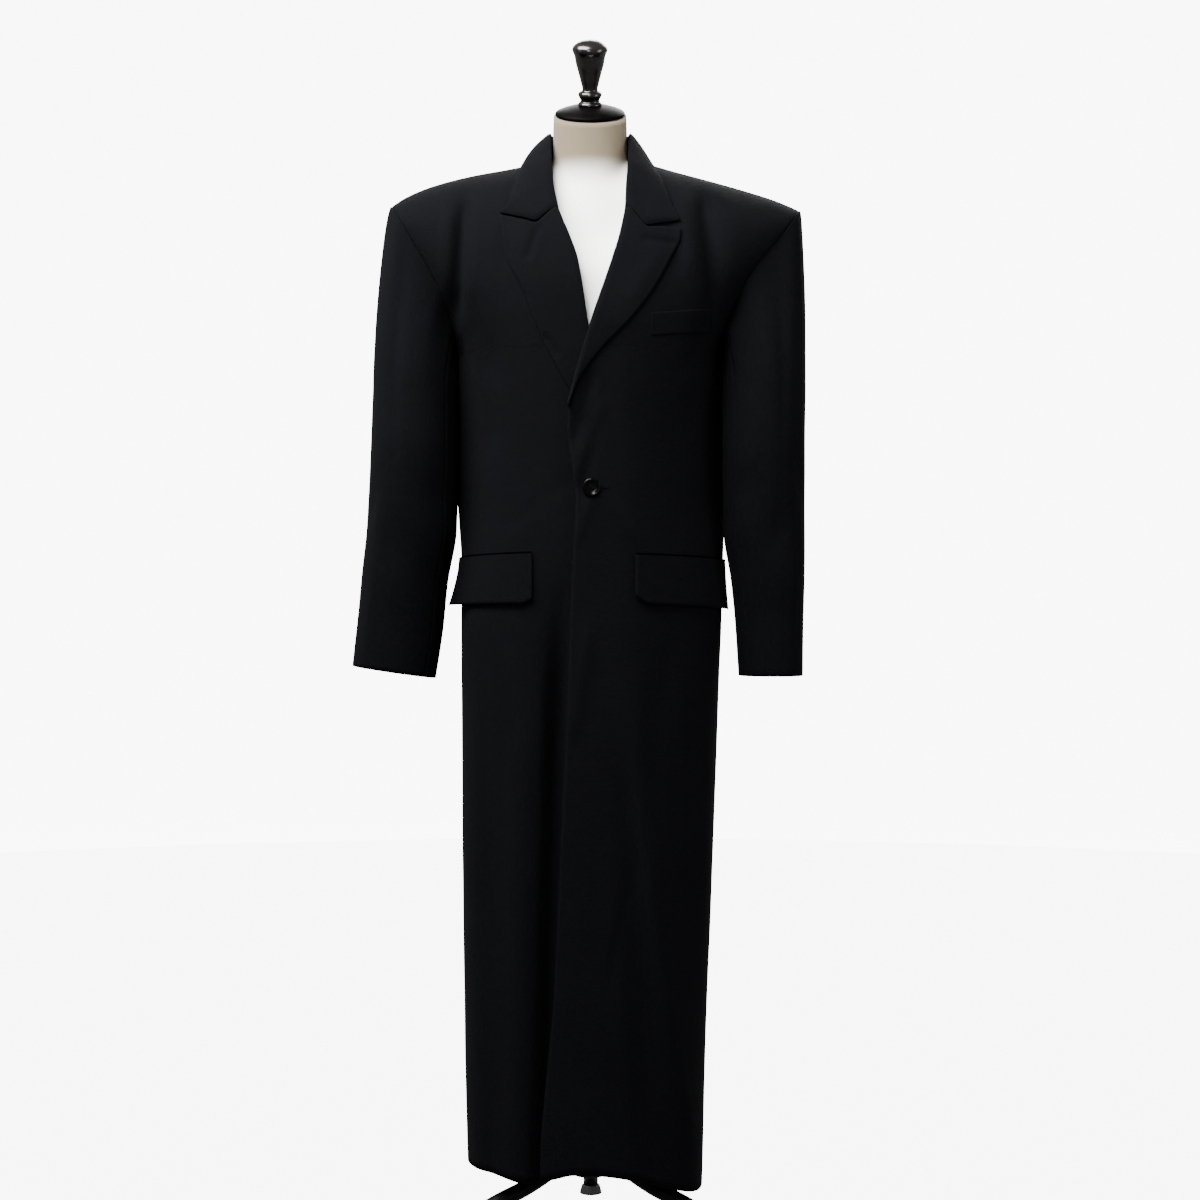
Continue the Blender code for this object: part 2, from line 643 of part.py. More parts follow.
def panel_path(face, side, row):
    """Function that gives the surface place at each share of one row, from inner edge to side."""
    start = NECK_POINT if face == "front" else 0.0

    def inner_reach(z):
        return smooth(FRONT_EDGE, side, z) if face == "front" else 0.0

    def upper(share):
        rise = (1.0 + math.cos(math.pi * row / UPPER_ROWS)) / 2.0
        outer, outer_z = armhole_place(side, math.pi * row / UPPER_ROWS)
        top = top_edge_z(face, side, mix(start, TIP[side], share))
        inner = inner_reach(mix(ARMPIT_Z, top_edge_z(face, side, start), rise))
        z = outer_z if share >= 1.0 else mix(ARMPIT_Z, top, rise)
        return face, side, mix(inner, outer, share), z

    def lower(share):
        down = LOWER_SHARES[row - UPPER_ROWS - 1]
        column = side + "_" + face
        z = mix(ARMPIT_Z, smooth(HEM, column, share), down)
        inner = inner_reach(mix(ARMPIT_Z, smooth(HEM, column, 0.0), down))
        return face, side, mix(inner, half_width(side, z), share), z

    return upper if row <= UPPER_ROWS else lower


def panel_shell(face, side):
    """Outer and inner grids of a front or back panel."""
    away = -1.0 if face == "front" else 1.0
    outer_grid = []
    inner_grid = []
    for row in range(UPPER_ROWS + len(LOWER_SHARES) + 1):
        path = panel_path(face, side, row)
        if face == "front":
            shares = even_shares(path, 0.0, 1.0, FRONT_COLUMNS)
        else:
            corner = NECK_POINT / TIP[side]
            shares = even_shares(path, 0.0, corner, BACK_COLUMNS[0])
            shares += even_shares(path, corner, 1.0, BACK_COLUMNS[1])[1:]
        outer_row = []
        inner_row = []
        for share in shares:
            place = path(share)
            outer = surface(*place)
            inner = outer - surface_normal(*place) * WALL
            for point in (outer, inner):
                point.y = away * max(away * point.y, SEAM_GAP / 2.0)
                if face == "back":
                    point.x = SIDES[side] * max(SIDES[side] * point.x, SEAM_GAP / 2.0)
            outer_row.append(outer)
            inner_row.append(inner)
        outer_grid.append(outer_row)
        inner_grid.append(inner_row)
    return outer_grid, inner_grid


def armhole_point(side, turn):
    """Outer point of the body at the armhole and the outward direction there."""
    turn = turn % (2.0 * math.pi)
    face = "front" if turn <= math.pi else "back"
    reach, z = armhole_place(side, turn)
    if abs(turn - math.pi) < 1e-6:
        reach = half_width(side, ARMPIT_Z)
    return surface(face, side, reach, z), surface_normal(face, side, reach, z)


def sleeve_ring_point(side, z, turn):
    """Point of a sleeve ring; turn 0 is the outer side and a quarter turn is the front."""
    rows = tuple(reversed(SLEEVES[side]))
    inner = smooth(rows, "inner", z)
    outer = smooth(rows, "outer", z)
    power = 2.0 / SLEEVE_ROUNDNESS
    out = math.copysign(abs(math.cos(turn)) ** power, math.cos(turn))
    forward = math.copysign(abs(math.sin(turn)) ** power, math.sin(turn))
    reach = (inner + outer) / 2.0 + out * (outer - inner) / 2.0
    y = smooth(rows, "centre_y", z) - forward * smooth(rows, "half_depth", z)
    return Vector((SIDES[side] * reach, y, z + smooth(rows, "slope", z) * out / 2.0))


def sleeve_point(side, turn, down):
    """Point of a sleeve; down runs 0 to 1 over the sleeve head and 1 to 2 to the cuff."""
    first = SLEEVES[side][0].z
    if down >= 1.0:
        return sleeve_ring_point(side, mix(first, SLEEVES[side][-1].z, down - 1.0), turn)
    start, normal = armhole_point(side, turn)
    ahead = armhole_point(side, turn + ARMHOLE_STEP)[0]
    behind = armhole_point(side, turn - ARMHOLE_STEP)[0]
    leave = (ahead - behind).normalized().cross(normal) * -SIDES[side]
    lean = UNDERARM_LEAN * (1.0 - math.cos(turn)) / 2.0
    leave = (leave * math.cos(lean) + normal * math.sin(lean)).normalized()
    start = start + leave * SEAM_GAP * (3.0 - math.cos(turn)) / 2.0
    end = sleeve_ring_point(side, first, turn)
    push = mix(UNDERARM_PUSH, HEAD_PUSH, (1.0 + math.cos(turn)) / 2.0)
    arrive = Vector((0.0, 0.0, -(end - start).length))
    return hermite(start, end, leave * push, arrive, down)


def sleeve_normal(side, turn, down):
    """Outward direction of a sleeve's surface."""
    if down <= 0.0:
        return armhole_point(side, turn)[1]
    tiny = SLEEVE_STEP
    across = sleeve_point(side, turn + tiny, down) - sleeve_point(side, turn - tiny, down)
    along = sleeve_point(side, turn, down + tiny) - sleeve_point(side, turn, down - tiny)
    return (across.cross(along) * SIDES[side]).normalized()


def sleeve_shell(side, first_row, last_row):
    """Outer and inner grids of one piece of a two-piece sleeve, between two armhole rows."""
    downs = list(SLEEVE_HEAD_STEPS) + [1.0 + (i + 1) / SLEEVE_ROWS for i in range(SLEEVE_ROWS)]
    outer_grid = []
    inner_grid = []
    for down in downs:
        outer_row = []
        inner_row = []
        for column in range(first_row, last_row + 1):
            turn = math.pi * column / UPPER_ROWS
            point = sleeve_point(side, turn, down)
            normal = sleeve_normal(side, turn, down)
            shift = 0.0
            if column == first_row:
                shift = SEAM_GAP / 2.0
            elif column == last_row:
                shift = -SEAM_GAP / 2.0
            if shift:
                ahead = sleeve_point(side, turn + SEAM_STEP, down)
                behind = sleeve_point(side, turn - SEAM_STEP, down)
                point = point + (ahead - behind).normalized() * shift
            outer_row.append(point)
            inner_row.append(point - normal * WALL)
        outer_grid.append(outer_row)
        inner_grid.append(inner_row)
    return outer_grid, inner_grid


def grid_normals(grid, flip):
    """Outward direction at each point of a grid of rows, from its neighbours."""
    normals = []
    for r, row in enumerate(grid):
        line = []
        for c in range(len(row)):
            across = row[min(c + 1, len(row) - 1)] - row[max(c - 1, 0)]
            down = grid[min(r + 1, len(grid) - 1)][c] - grid[max(r - 1, 0)][c]
            line.append((across.cross(down) * flip).normalized())
        normals.append(line)
    return normals


def thicken(grid, wall, flip):
    """Inner grid at an even distance behind an outer grid."""
    normals = grid_normals(grid, flip)
    return [[point - normal * wall for point, normal in zip(row, line)]
            for row, line in zip(grid, normals)]


def press(z):
    """Share of its full lift that the right lapel keeps where the left front lies over it."""
    return mix(PRESSED_LIFT_SHARE, 1.0, ease((z - PRESSED_Z) / (FREE_Z - PRESSED_Z)))


def leaf_drop(share, inner_share, drop):
    """Dip of a collar leaf's or lapel's end below the straight line, deepest at the notch."""
    if share < inner_share:
        return drop * share / inner_share
    return drop * (1.0 - share) / (1.0 - inner_share)


def lapel_grid(facets, side):
    """Outer face of a lapel, from its rolled edge to its free edge."""
    notch = NOTCH[side]
    top_z = notch.roll_z - GORGE_HALF_GAP
    grid = []
    for row in range(LAPEL_ROWS + 1):
        down = row / LAPEL_ROWS
        roll_z = mix(top_z, BREAK_Z[side], down)
        roll_reach = smooth(FRONT_EDGE, side, roll_z)
        edge_reach = smooth(LAPEL_EDGE, side + "_reach", down)
        edge_z = smooth(LAPEL_EDGE, side + "_z", down)
        lift_share = press(roll_z) if side == "right" else 1.0
        width = max(LEAST_WIDTH, edge_reach - roll_reach)
        narrow = clamp(width / FULL_ROLL_WIDTH)
        points = []
        for roll in ROLL:
            reach = roll_reach + roll.reach * (narrow if roll.reach > 0.0 else 1.0)
            lift = roll.lift * (lift_share if roll.lift > 0.0 else 1.0)
            points.append(on_coat(facets, "front", side, reach, roll_z, lift))
        for share in LAPEL_SHARES:
            dip = leaf_drop(share, notch.inner_share, notch.lapel_drop) * (1.0 - down) ** DIP_FADE
            reach = mix(roll_reach + ROLL[-1].reach * narrow, edge_reach, share)
            z = mix(roll_z, edge_z, share) - dip
            lift = mix(LEAF_LIFT, LEAF_EDGE_LIFT, share) * lift_share
            points.append(on_coat(facets, "front", side, reach, z, lift))
        grid.append(points)
    return grid


def collar_stations():
    """Rows of the collar table at even steps, from the right leaf round the back to the left."""
    count = round(COLLAR[-1].station / STATION_STEP)
    half = []
    for step in range(count + 1):
        at = step * STATION_STEP
        values = [smooth(COLLAR, column, at) for column in Collar._fields[1:]]
        half.append(Collar(at, *values))
    return [("right", row) for row in reversed(half)] + [("left", row) for row in half[1:]]


def station_face(station):
    """Panel face under a station: the back up to the shoulder seam, then the front."""
    return "back" if station.station <= SHOULDER_STATION else "front"


def stand_foot(side, station):
    """Neck-side foot of the collar stand, just inside the neck seam."""
    if station_face(station) == "front":
        reach = smooth(FRONT_EDGE, side, station.seam_z) - STAND_INSET
        return surface("front", side, reach, station.seam_z)
    seam = surface("back", side, station.seam_reach, station.seam_z)
    away = Vector((seam.x, seam.y, 0.0)).normalized()
    return seam - away * STAND_INSET + Vector((0.0, 0.0, SEAM_GAP))


def collar_section(facets, side, station):
    """Outer face of the collar fall at one station, from the fold to the outer edge."""
    sign = SIDES[side]
    fold = Vector((sign * station.fold_reach, station.fold_y, station.fold_z))
    away = Vector((fold.x, fold.y, 0.0)).normalized()
    up = Vector((0.0, 0.0, 1.0))
    inward, rise = COLLAR_DRAWN_IN[side]
    drawn = math.sin(math.pi * station.station / COLLAR[-1].station)
    edge = on_coat(facets, station_face(station), side, station.edge_reach - inward * drawn,
                   station.edge_z + rise * drawn, LEAF_EDGE_LIFT)
    line = edge - fold
    out = (up - line * (up.dot(line) / line.length_squared)).normalized()
    foot = fold - away * NECK_FACE_SHIFT - up * ROLL_DEPTH
    if station.station > FALL_FOOT_START:
        foot = stand_foot(side, station)
    points = [foot,
              fold - away * NECK_FACE_SHIFT + up * CROWN_FOOT,
              fold + away * CROWN[0] + up * CROWN[1]]
    start = fold + away * FALL_START[0] + up * FALL_START[1]
    for share in COLLAR_SHARES:
        bulge = out * (COLLAR_BULGE[side] * math.sin(math.pi * share))
        points.append(start.lerp(edge, share) + bulge)
    return points


def gorge_section(facets, side):
    """Outer face of the collar leaf's end, along the gorge and the notch."""
    notch = NOTCH[side]
    roll_z = notch.roll_z + GORGE_HALF_GAP
    roll_reach = smooth(FRONT_EDGE, side, roll_z)
    points = []
    for roll in ROLL[:3]:
        points.append(on_coat(facets, "front", side, roll_reach + roll.reach, roll_z, roll.lift))
    for share in COLLAR_SHARES:
        dip = leaf_drop(share, notch.inner_share, notch.collar_drop)
        reach = mix(roll_reach + ROLL[-1].reach, notch.collar_corner_reach, share)
        z = mix(roll_z, notch.collar_corner_z, share) - dip
        lift = mix(LEAF_LIFT, LEAF_EDGE_LIFT, share)
        points.append(on_coat(facets, "front", side, reach, z, lift))
    return points


def collar_fall_grid(facets):
    """Outer face of the collar's fall, all round."""
    grid = [gorge_section(facets, "right")]
    for side, station in collar_stations():
        grid.append(collar_section(facets, side, station))
    grid.append(gorge_section(facets, "left"))
    return grid


def collar_stand_grid():
    """Neck-side face of the collar stand, from the neck seam up to the fold."""
    grid = []
    for side, station in collar_stations():
        if station.station > STAND_END:
            continue
        fold = Vector((SIDES[side] * station.fold_reach, station.fold_y, station.fold_z))
        away = Vector((fold.x, fold.y, 0.0)).normalized()
        top = fold - away * NECK_FACE_SHIFT + Vector((0.0, 0.0, -ROLL_DEPTH - STAND_TOP_GAP))
        foot = stand_foot(side, station)
        grid.append([top.lerp(foot, share) for share in STAND_SHARES])
    return grid


def flap_grid(facets, side):
    """Outer face of a pocket flap on the front, wrapped towards the side seam."""
    flap = FLAPS[side]
    start_turn = math.acos((flap.inner_reach / half_width(side, flap.top_inner_z))
                           ** (ROUNDNESS / 2.0))
    grid = []
    for row in range(FLAP_ROWS + 1):
        down = row / FLAP_ROWS
        points = []
        for column in range(FLAP_COLUMNS + 1):
            share = column / FLAP_COLUMNS
            turn = mix(start_turn, FLAP_OUTER_TURN, share)
            top = mix(flap.top_inner_z, flap.top_outer_z, share)
            foot = mix(flap.foot_inner_z, flap.foot_outer_z, share)
            corner_share, corner_height = FLAP_CORNER[side]
            foot += corner_height * clamp(1.0 - share / corner_share) ** 2
            z = mix(top, foot, down)
            reach = half_width(side, z) * math.cos(turn) ** (2.0 / ROUNDNESS)
            flared = ease((share - FLAP_FLARE_START) / (1.0 - FLAP_FLARE_START))
            flare = FLAP_FLARE[side] * flared * down ** FLAP_FLARE_POWER
            lift = mix(FLAP_TOP_LIFT, FLAP_FOOT_LIFT, down) + flare
            points.append(on_coat(facets, "front", side, reach, z, lift))
        grid.append(points)
    return grid


def welt_grid(facets):
    """Outer face of the chest welt."""
    grid = []
    for row in range(WELT_ROWS + 1):
        up = 1.0 - row / WELT_ROWS
        points = []
        for column in range(WELT_COLUMNS + 1):
            share = column / WELT_COLUMNS
            reach = mix(WELT_REACH[0], WELT_REACH[1], share)
            z = mix(WELT_FOOT_Z[0], WELT_FOOT_Z[1], share) + WELT_HEIGHT * up
            points.append(on_coat(facets, "front", "left", reach, z, WELT_LIFT))
        grid.append(points)
    return grid


def form_grid():
    """Rings of the dress form from neck to hip; z follows the tilt of each ring."""
    rings = []
    power = 2.0 / FORM_ROUNDNESS
    for row in FORM:
        ring = []
        for column in range(FORM_COLUMNS):
            turn = 2.0 * math.pi * column / FORM_COLUMNS
            out = math.copysign(abs(math.cos(turn)) ** power, math.cos(turn))
            forward = math.copysign(abs(math.sin(turn)) ** power, math.sin(turn))
            end_y = row.front_y if forward > 0.0 else row.back_y
            end_z = row.front_z if forward > 0.0 else row.back_z
            lean = math.sin(turn) ** 2
            if row.reach < NECK_REACH:
                lean = abs(forward)
            ring.append(Vector((row.reach * out, end_y * abs(forward),
                                mix(row.side_z, end_z, lean))))
        rings.append(ring)
    return rings


def material(name, colour, roughness, metallic=0.0):
    """Principled material."""
    made = bpy.data.materials.new(name)
    made.use_nodes = True
    shader = made.node_tree.nodes["Principled BSDF"]
    shader.inputs["Base Color"].default_value = (*colour, 1.0)
    shader.inputs["Roughness"].default_value = roughness
    shader.inputs["Metallic"].default_value = metallic
    return made


def add_object(name, mesh, look, collection):
    """Object with its own material, placed on the form's axis."""
    made = bpy.data.objects.new(name, mesh)
    made.data.materials.append(material(name, *look))
    made.location = AXIS
    collection.objects.link(made)
    return made


def finish_mesh(name, frame):
    """Mesh from a bmesh with its faces pointing out."""
    bmesh.ops.recalc_face_normals(frame, faces=frame.faces)
    mesh = bpy.data.meshes.new(name)
    frame.to_mesh(mesh)
    frame.free()
    mesh.shade_smooth()
    return mesh


def add_shell(name, outer, inner, look, collection):
    """Closed sheet between an outer and an inner grid of the same size."""
    frame = bmesh.new()
    rows = len(outer)
    columns = len(outer[0])
    front = [[frame.verts.new(point) for point in row] for row in outer]
    back = [[frame.verts.new(point) for point in row] for row in inner]
    for r in range(rows - 1):
        for c in range(columns - 1):
            frame.faces.new((front[r][c], front[r][c + 1], front[r + 1][c + 1], front[r + 1][c]))
            frame.faces.new((back[r][c], back[r + 1][c], back[r + 1][c + 1], back[r][c + 1]))
    for r in range(rows - 1):
        for c in (0, columns - 1):
            frame.faces.new((front[r][c], front[r + 1][c], back[r + 1][c], back[r][c]))
    for c in range(columns - 1):
        for r in (0, rows - 1):
            frame.faces.new((front[r][c], front[r][c + 1], back[r][c + 1], back[r][c]))
    return add_object(name, finish_mesh(name, frame), look, collection)


def add_loft(name, rings, look, collection):
    """Closed body through rings of equal counts, with flat ends."""
    frame = bmesh.new()
    loops = [[frame.verts.new(point) for point in ring] for ring in rings]
    count = len(rings[0])
    for upper, lower in zip(loops, loops[1:]):
        for c in range(count):
            d = (c + 1) % count
            frame.faces.new((upper[c], upper[d], lower[d], lower[c]))
    frame.faces.new(loops[0])
    frame.faces.new(loops[-1])
    return add_object(name, finish_mesh(name, frame), look, collection)


def add_turned(name, profile, steps, look, collection):
    """Turned body: a profile spun round Z with a Screw modifier."""
    frame = bmesh.new()
    line = [frame.verts.new((radius, 0.0, height)) for radius, height in profile]
    for before, after in zip(line, line[1:]):
        frame.edges.new((before, after))
    mesh = bpy.data.meshes.new(name)
    frame.to_mesh(mesh)
    frame.free()
    made = add_object(name, mesh, look, collection)
    screw = made.modifiers.new("Turn", "SCREW")
    screw.steps = steps
    screw.render_steps = steps
    screw.use_merge_vertices = True
    screw.merge_threshold = MERGE_DISTANCE
    return made


def add_cloth(collection):
    """All pieces of the garment."""
    look = (CLOTH, 0.85)
    facets = {}
    for side in SIDES:
        for face in ("front", "back"):
            outer, inner = panel_shell(face, side)
            facets[side + "_" + face] = facet_tree(outer)
            add_shell(side + "_" + face, outer, inner, look, collection)
        outer, inner = sleeve_shell(side, BACK_SEAM_ROW - 2 * UPPER_ROWS, FRONT_SEAM_ROW)
        add_shell(side + "_top_sleeve", outer, inner, look, collection)
        outer, inner = sleeve_shell(side, FRONT_SEAM_ROW, BACK_SEAM_ROW)
        add_shell(side + "_under_sleeve", outer, inner, look, collection)
        flip = -SIDES[side]
        grid = lapel_grid(facets, side)
        add_shell(side + "_lapel", grid, thicken(grid, THIN_WALL, flip), look, collection)
        grid = flap_grid(facets, side)
        add_shell(side + "_pocket_flap", grid, thicken(grid, THIN_WALL, flip), look, collection)
    grid = collar_fall_grid(facets)
    add_shell("collar_fall", grid, thicken(grid, THIN_WALL, -1.0), look, collection)
    grid = collar_stand_grid()
    add_shell("collar_stand", grid, thicken(grid, THIN_WALL, 1.0), look, collection)
    grid = welt_grid(facets)
    add_shell("chest_welt", grid, thicken(grid, THIN_WALL, -1.0), look, collection)
    add_button(facets, collection)


def add_button(facets, collection):
    """Front button lying on the highest points of the left front under it."""
    profile = [(BUTTON_RADIUS * out, BUTTON_THICKNESS * up) for out, up in BUTTON_PROFILE]
    made = add_turned("front_button", profile, BUTTON_SIDES, (HORN, 0.25), collection)
    nearest = 0.0
    for step in range(BUTTON_PROBES):
        turn = 2.0 * math.pi * step / BUTTON_PROBES
        for radius, height in profile[-BUTTON_BACK_ROWS:]:
            reach = BUTTON_REACH + radius * math.cos(turn)
            point = on_coat(facets, "front", "left", reach, BUTTON_Z + radius * math.sin(turn), 0.0)
            nearest = min(nearest, point.y + height)
    made.rotation_euler = (math.radians(90.0), 0.0, 0.0)
    made.location = AXIS + Vector((BUTTON_REACH, nearest - SEAM_GAP, BUTTON_Z))


def add_dress_form(collection):
    """Torso with neck, cap and knob."""
    add_loft("form_torso", form_grid(), (LINEN, 0.9), collection)
    cap = add_turned("neck_cap", CAP_PROFILE, CAP_SIDES, (BLACK_WOOD, 0.3), collection)
    knob = add_turned("knob", KNOB, KNOB_SIDES, (BLACK_WOOD, 0.25), collection)
    tilt = Matrix.Rotation(NECK_TILT, 3, "X")
    for made, height in ((cap, 0.0), (knob, KNOB_SEAT)):
        made.rotation_euler = (NECK_TILT, 0.0, 0.0)
        made.location = AXIS + CAP_CENTRE + tilt @ Vector((0.0, 0.0, height))


def add_leg(name, turn, collection):
    """One round leg bent down to its pad."""
    curve = bpy.data.curves.new(name, "CURVE")
    curve.dimensions = "3D"
    curve.bevel_depth = LEG_RADIUS
    curve.bevel_resolution = 2
    curve.use_fill_caps = True
    line = curve.splines.new("POLY")
    line.points.add(len(LEG) - 1)
    for point, row in zip(line.points, LEG):
        point.co = (row.reach, 0.0, row.z, 1.0)
    curve.materials.append(material(name, BLACK_METAL, 0.35, 0.6))
    made = bpy.data.objects.new(name, curve)
    made.rotation_euler = (0.0, 0.0, math.radians(turn))
    made.location = AXIS
    collection.objects.link(made)


def add_stand(collection):
    """Pole, hub, legs and foot pads."""
    look = (BLACK_METAL, 0.35, 0.6)
    foot = HUB_TOP_Z + SEAM_GAP
    top = FORM[-1].side_z - SEAM_GAP
    frame = bmesh.new()
    middle = Matrix.Translation((0.0, 0.0, (foot + top) / 2.0))
    bmesh.ops.create_cone(frame, cap_ends=True, segments=ROUND_SIDES, radius1=POLE_RADIUS,
                          radius2=POLE_RADIUS, depth=top - foot, matrix=middle)
    add_object("pole", finish_mesh("pole", frame), look, collection)
    add_turned("base_hub", HUB_PROFILE, ROUND_SIDES, look, collection)
    for number, turn in enumerate(LEG_TURNS, start=1):
        add_leg("leg_%d" % number, turn, collection)
        frame = bmesh.new()
        reach = LEG[-1].reach
        centre = Vector((reach * math.cos(math.radians(turn)), reach * math.sin(math.radians(turn)),
                         PAD_HEIGHT / 2.0))
        bmesh.ops.create_cone(frame, cap_ends=True, segments=PAD_SIDES, radius1=PAD_RADIUS,
                              radius2=PAD_RADIUS * PAD_TAPER, depth=PAD_HEIGHT,
                              matrix=Matrix.Translation(centre))
        add_object("foot_pad_%d" % number, finish_mesh("foot_pad", frame), look, collection)


def main():
    """Build the whole object in an emptied scene."""
    for old in list(bpy.data.objects):
        bpy.data.objects.remove(old, do_unlink=True)
    collection = bpy.data.collections.new("long_blazer")
    bpy.context.scene.collection.children.link(collection)
    add_cloth(collection)
    add_dress_form(collection)
    add_stand(collection)


main()
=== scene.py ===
import math
from bisect import bisect_right
from collections import namedtuple

import bmesh
import bpy
from mathutils import Matrix, Vector, noise
from mathutils.bvhtree import BVHTree


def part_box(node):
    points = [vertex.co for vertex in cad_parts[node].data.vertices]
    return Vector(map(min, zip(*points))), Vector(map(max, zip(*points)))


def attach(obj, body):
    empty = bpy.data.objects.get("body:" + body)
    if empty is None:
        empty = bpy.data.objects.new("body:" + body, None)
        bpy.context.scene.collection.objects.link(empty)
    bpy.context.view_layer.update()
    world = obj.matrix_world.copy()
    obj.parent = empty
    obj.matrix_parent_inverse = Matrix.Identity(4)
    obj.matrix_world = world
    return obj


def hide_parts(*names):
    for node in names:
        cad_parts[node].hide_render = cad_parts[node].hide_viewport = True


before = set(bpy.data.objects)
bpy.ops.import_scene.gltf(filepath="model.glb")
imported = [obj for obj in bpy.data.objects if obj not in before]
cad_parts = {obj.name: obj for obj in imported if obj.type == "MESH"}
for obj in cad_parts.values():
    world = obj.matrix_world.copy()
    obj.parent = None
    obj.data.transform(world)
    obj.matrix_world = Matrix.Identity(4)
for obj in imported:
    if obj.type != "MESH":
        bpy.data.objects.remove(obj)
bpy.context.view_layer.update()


def table(columns, rows):
    """Table whose rows are tuples with named columns."""
    row_type = namedtuple("Row", columns)
    return tuple(row_type(*row) for row in rows)


def tables(columns, **groups):
    """Tables with the same columns, by name."""
    return {name: table(columns, rows) for name, rows in groups.items()}


# Place of the form's upright axis
AXIS = Vector((0.0150, -0.0494, 0.0))

# Signs of the wearer's sides along X, and of a panel's outward direction along Y
SIDES = {"right": -1.0, "left": 1.0}
AWAY = {"front": -1.0, "back": 1.0}

# Walls of the cloth, and the gap at seams
WALL = 0.0020
THIN_WALL = 0.0016
SEAM_GAP = 0.0003
# Roundness of the coat's level sections; 2 would be an ellipse.
ROUNDNESS = 2.6
# Height of the armpit, and reaches of the neck point and the shoulder tips
ARMPIT_Z = 1.240
NECK_POINT = 0.062
TIP = {"right": 0.2797, "left": 0.2949}
# Fullness and power with which chest and back round off under the shoulder
ROLL_OFF = {"front": (2.2, 0.60), "back": (3.0, 0.50)}

# Rows of a panel round its armhole, from shoulder tip to armpit; all rows are counted in these.
UPPER_ROWS = 13
# Distance from which a panel's facets are searched
RAY_START = 0.030
# Points are packed closer towards a panel's side by this power, over this many fine steps.
SIDE_CROWDING = 2.6
FINE_STEPS = 60
# Depth over which folds and lap fade out towards the side seam.
SIDE_FADE_DEPTH = 0.050
# Step for slopes of the surface, and the height under the shoulder line that counts as its top.
SLOPE_STEP = 0.0002
CREST = 0.0005
# The turn of the chest and back at armpit height is spread up and down by this much, at heights
# this near the armpit and reaches this far inside it, as the mean depth at these shares of it.
ARMPIT_SPREAD = 0.038
ARMPIT_SPREAD_HEIGHT = 0.090
ARMPIT_SPREAD_REACH = 0.030
SPREAD_SHARES = (-1.0, -0.6, -0.2, 0.2, 0.6, 1.0)

# Half widths to each side and depths to the front and back of the coat, from hem to shoulder.
BODY = table("z right left front back", (
    (0.080, 0.1700, 0.1570, 0.125, 0.122),
    (0.300, 0.1760, 0.1630, 0.129, 0.125),
    (0.500, 0.1780, 0.1710, 0.132, 0.127),
    (0.800, 0.1800, 0.1815, 0.136, 0.128),
    (0.950, 0.1810, 0.1870, 0.137, 0.126),
    (1.010, 0.1845, 0.1885, 0.137, 0.122),
    (1.080, 0.1886, 0.1893, 0.137, 0.119),
    (1.180, 0.1876, 0.1884, 0.139, 0.119),
    (1.215, 0.1870, 0.1874, 0.140, 0.120),
    (1.240, 0.1855, 0.1855, 0.140, 0.120),
    (1.243, 0.1862, 0.1862, 0.140, 0.120),
    (1.252, 0.1882, 0.1882, 0.140, 0.120),
    (1.270, 0.1970, 0.1970, 0.140, 0.120),
    (1.300, 0.2130, 0.2130, 0.140, 0.120),
    (1.340, 0.2450, 0.2450, 0.140, 0.120),
    (1.400, 0.3110, 0.3110, 0.140, 0.120),
    (1.433, 0.4100, 0.4100, 0.140, 0.120),
    (1.460, 0.6000, 0.6000, 0.140, 0.120),
    (1.550, 1.0000, 1.0000, 0.140, 0.120),
))

# How far back the side seam lies at each height, behind the hanging sleeves, and the power with
# which that fades towards the middle of a panel.
SIDE_SEAM = table("z back", (
    (0.870, 0.000),
    (0.960, 0.016),
    (1.050, 0.042),
    (1.110, 0.042),
    (1.160, 0.036),
    (1.200, 0.026),
    (1.240, 0.014),
    (1.280, 0.005),
    (1.320, 0.000),
))
SEAM_BACK_POWER = 4

# Height of the shoulder line at each distance from the axis.
SHOULDER = table("reach right left", (
    (0.0000, 1.5400, 1.5400),
    (0.0300, 1.5305, 1.5305),
    (0.0500, 1.5225, 1.5225),
    (0.0620, 1.5185, 1.5185),
    (0.0906, 1.5115, 1.5115),
    (0.1150, 1.5065, 1.5045),
    (0.1650, 1.4973, 1.4910),
    (0.2213, 1.4825, 1.4750),
    (0.2587, 1.4667, 1.4630),
    (0.2797, 1.4532, 1.4545),
    (0.2949, 1.4450, 1.4475),
    (0.3200, 1.4300, 1.4360),
))

# Back neckline from the centre back to the neck point.
NECKLINE = table("reach z", (
    (0.000, 1.5130),
    (0.030, 1.5135),
    (0.050, 1.5155),
    (0.062, 1.5185),
))

# Armhole: how far from the axis it lies at each share of its rise from armpit to shoulder tip.
ARMHOLE = table("rise right left", (
    (0.00, 0.1855, 0.1855),
    (0.05, 0.1855, 0.1855),
    (0.14, 0.1880, 0.1870),
    (0.29, 0.1970, 0.1980),
    (0.48, 0.2160, 0.2160),
    (0.76, 0.2500, 0.2620),
    (0.92, 0.2700, 0.2850),
    (1.00, 0.2797, 0.2949),
))

# Inner edge of each front: roll line down to the break, then the buttoned edge down to the hem.
# The reach is counted towards the front's own side, so it is negative past the centre.
FRONT_EDGE = table("z right left", (
    (0.080, -0.028, -0.0665),
    (0.155, -0.028, -0.0660),
    (0.235, -0.028, -0.0600),
    (0.353, -0.028, -0.0487),
    (0.558, -0.028, -0.0387),
    (0.795, -0.028, -0.0276),
    (0.928, -0.028, -0.0235),
    (1.040, -0.028, -0.0180),
    (1.130, -0.026, -0.0290),
    (1.156, -0.020, -0.0290),
    (1.179, -0.010, -0.0235),
    (1.271, 0.0045, 0.0030),
    (1.361, 0.0185, 0.0325),
    (1.395, 0.0300, 0.0425),
    (1.437, 0.0460, 0.0510),
    (1.500, 0.0585, 0.0600),
    (1.5185, 0.062, 0.0620),
))

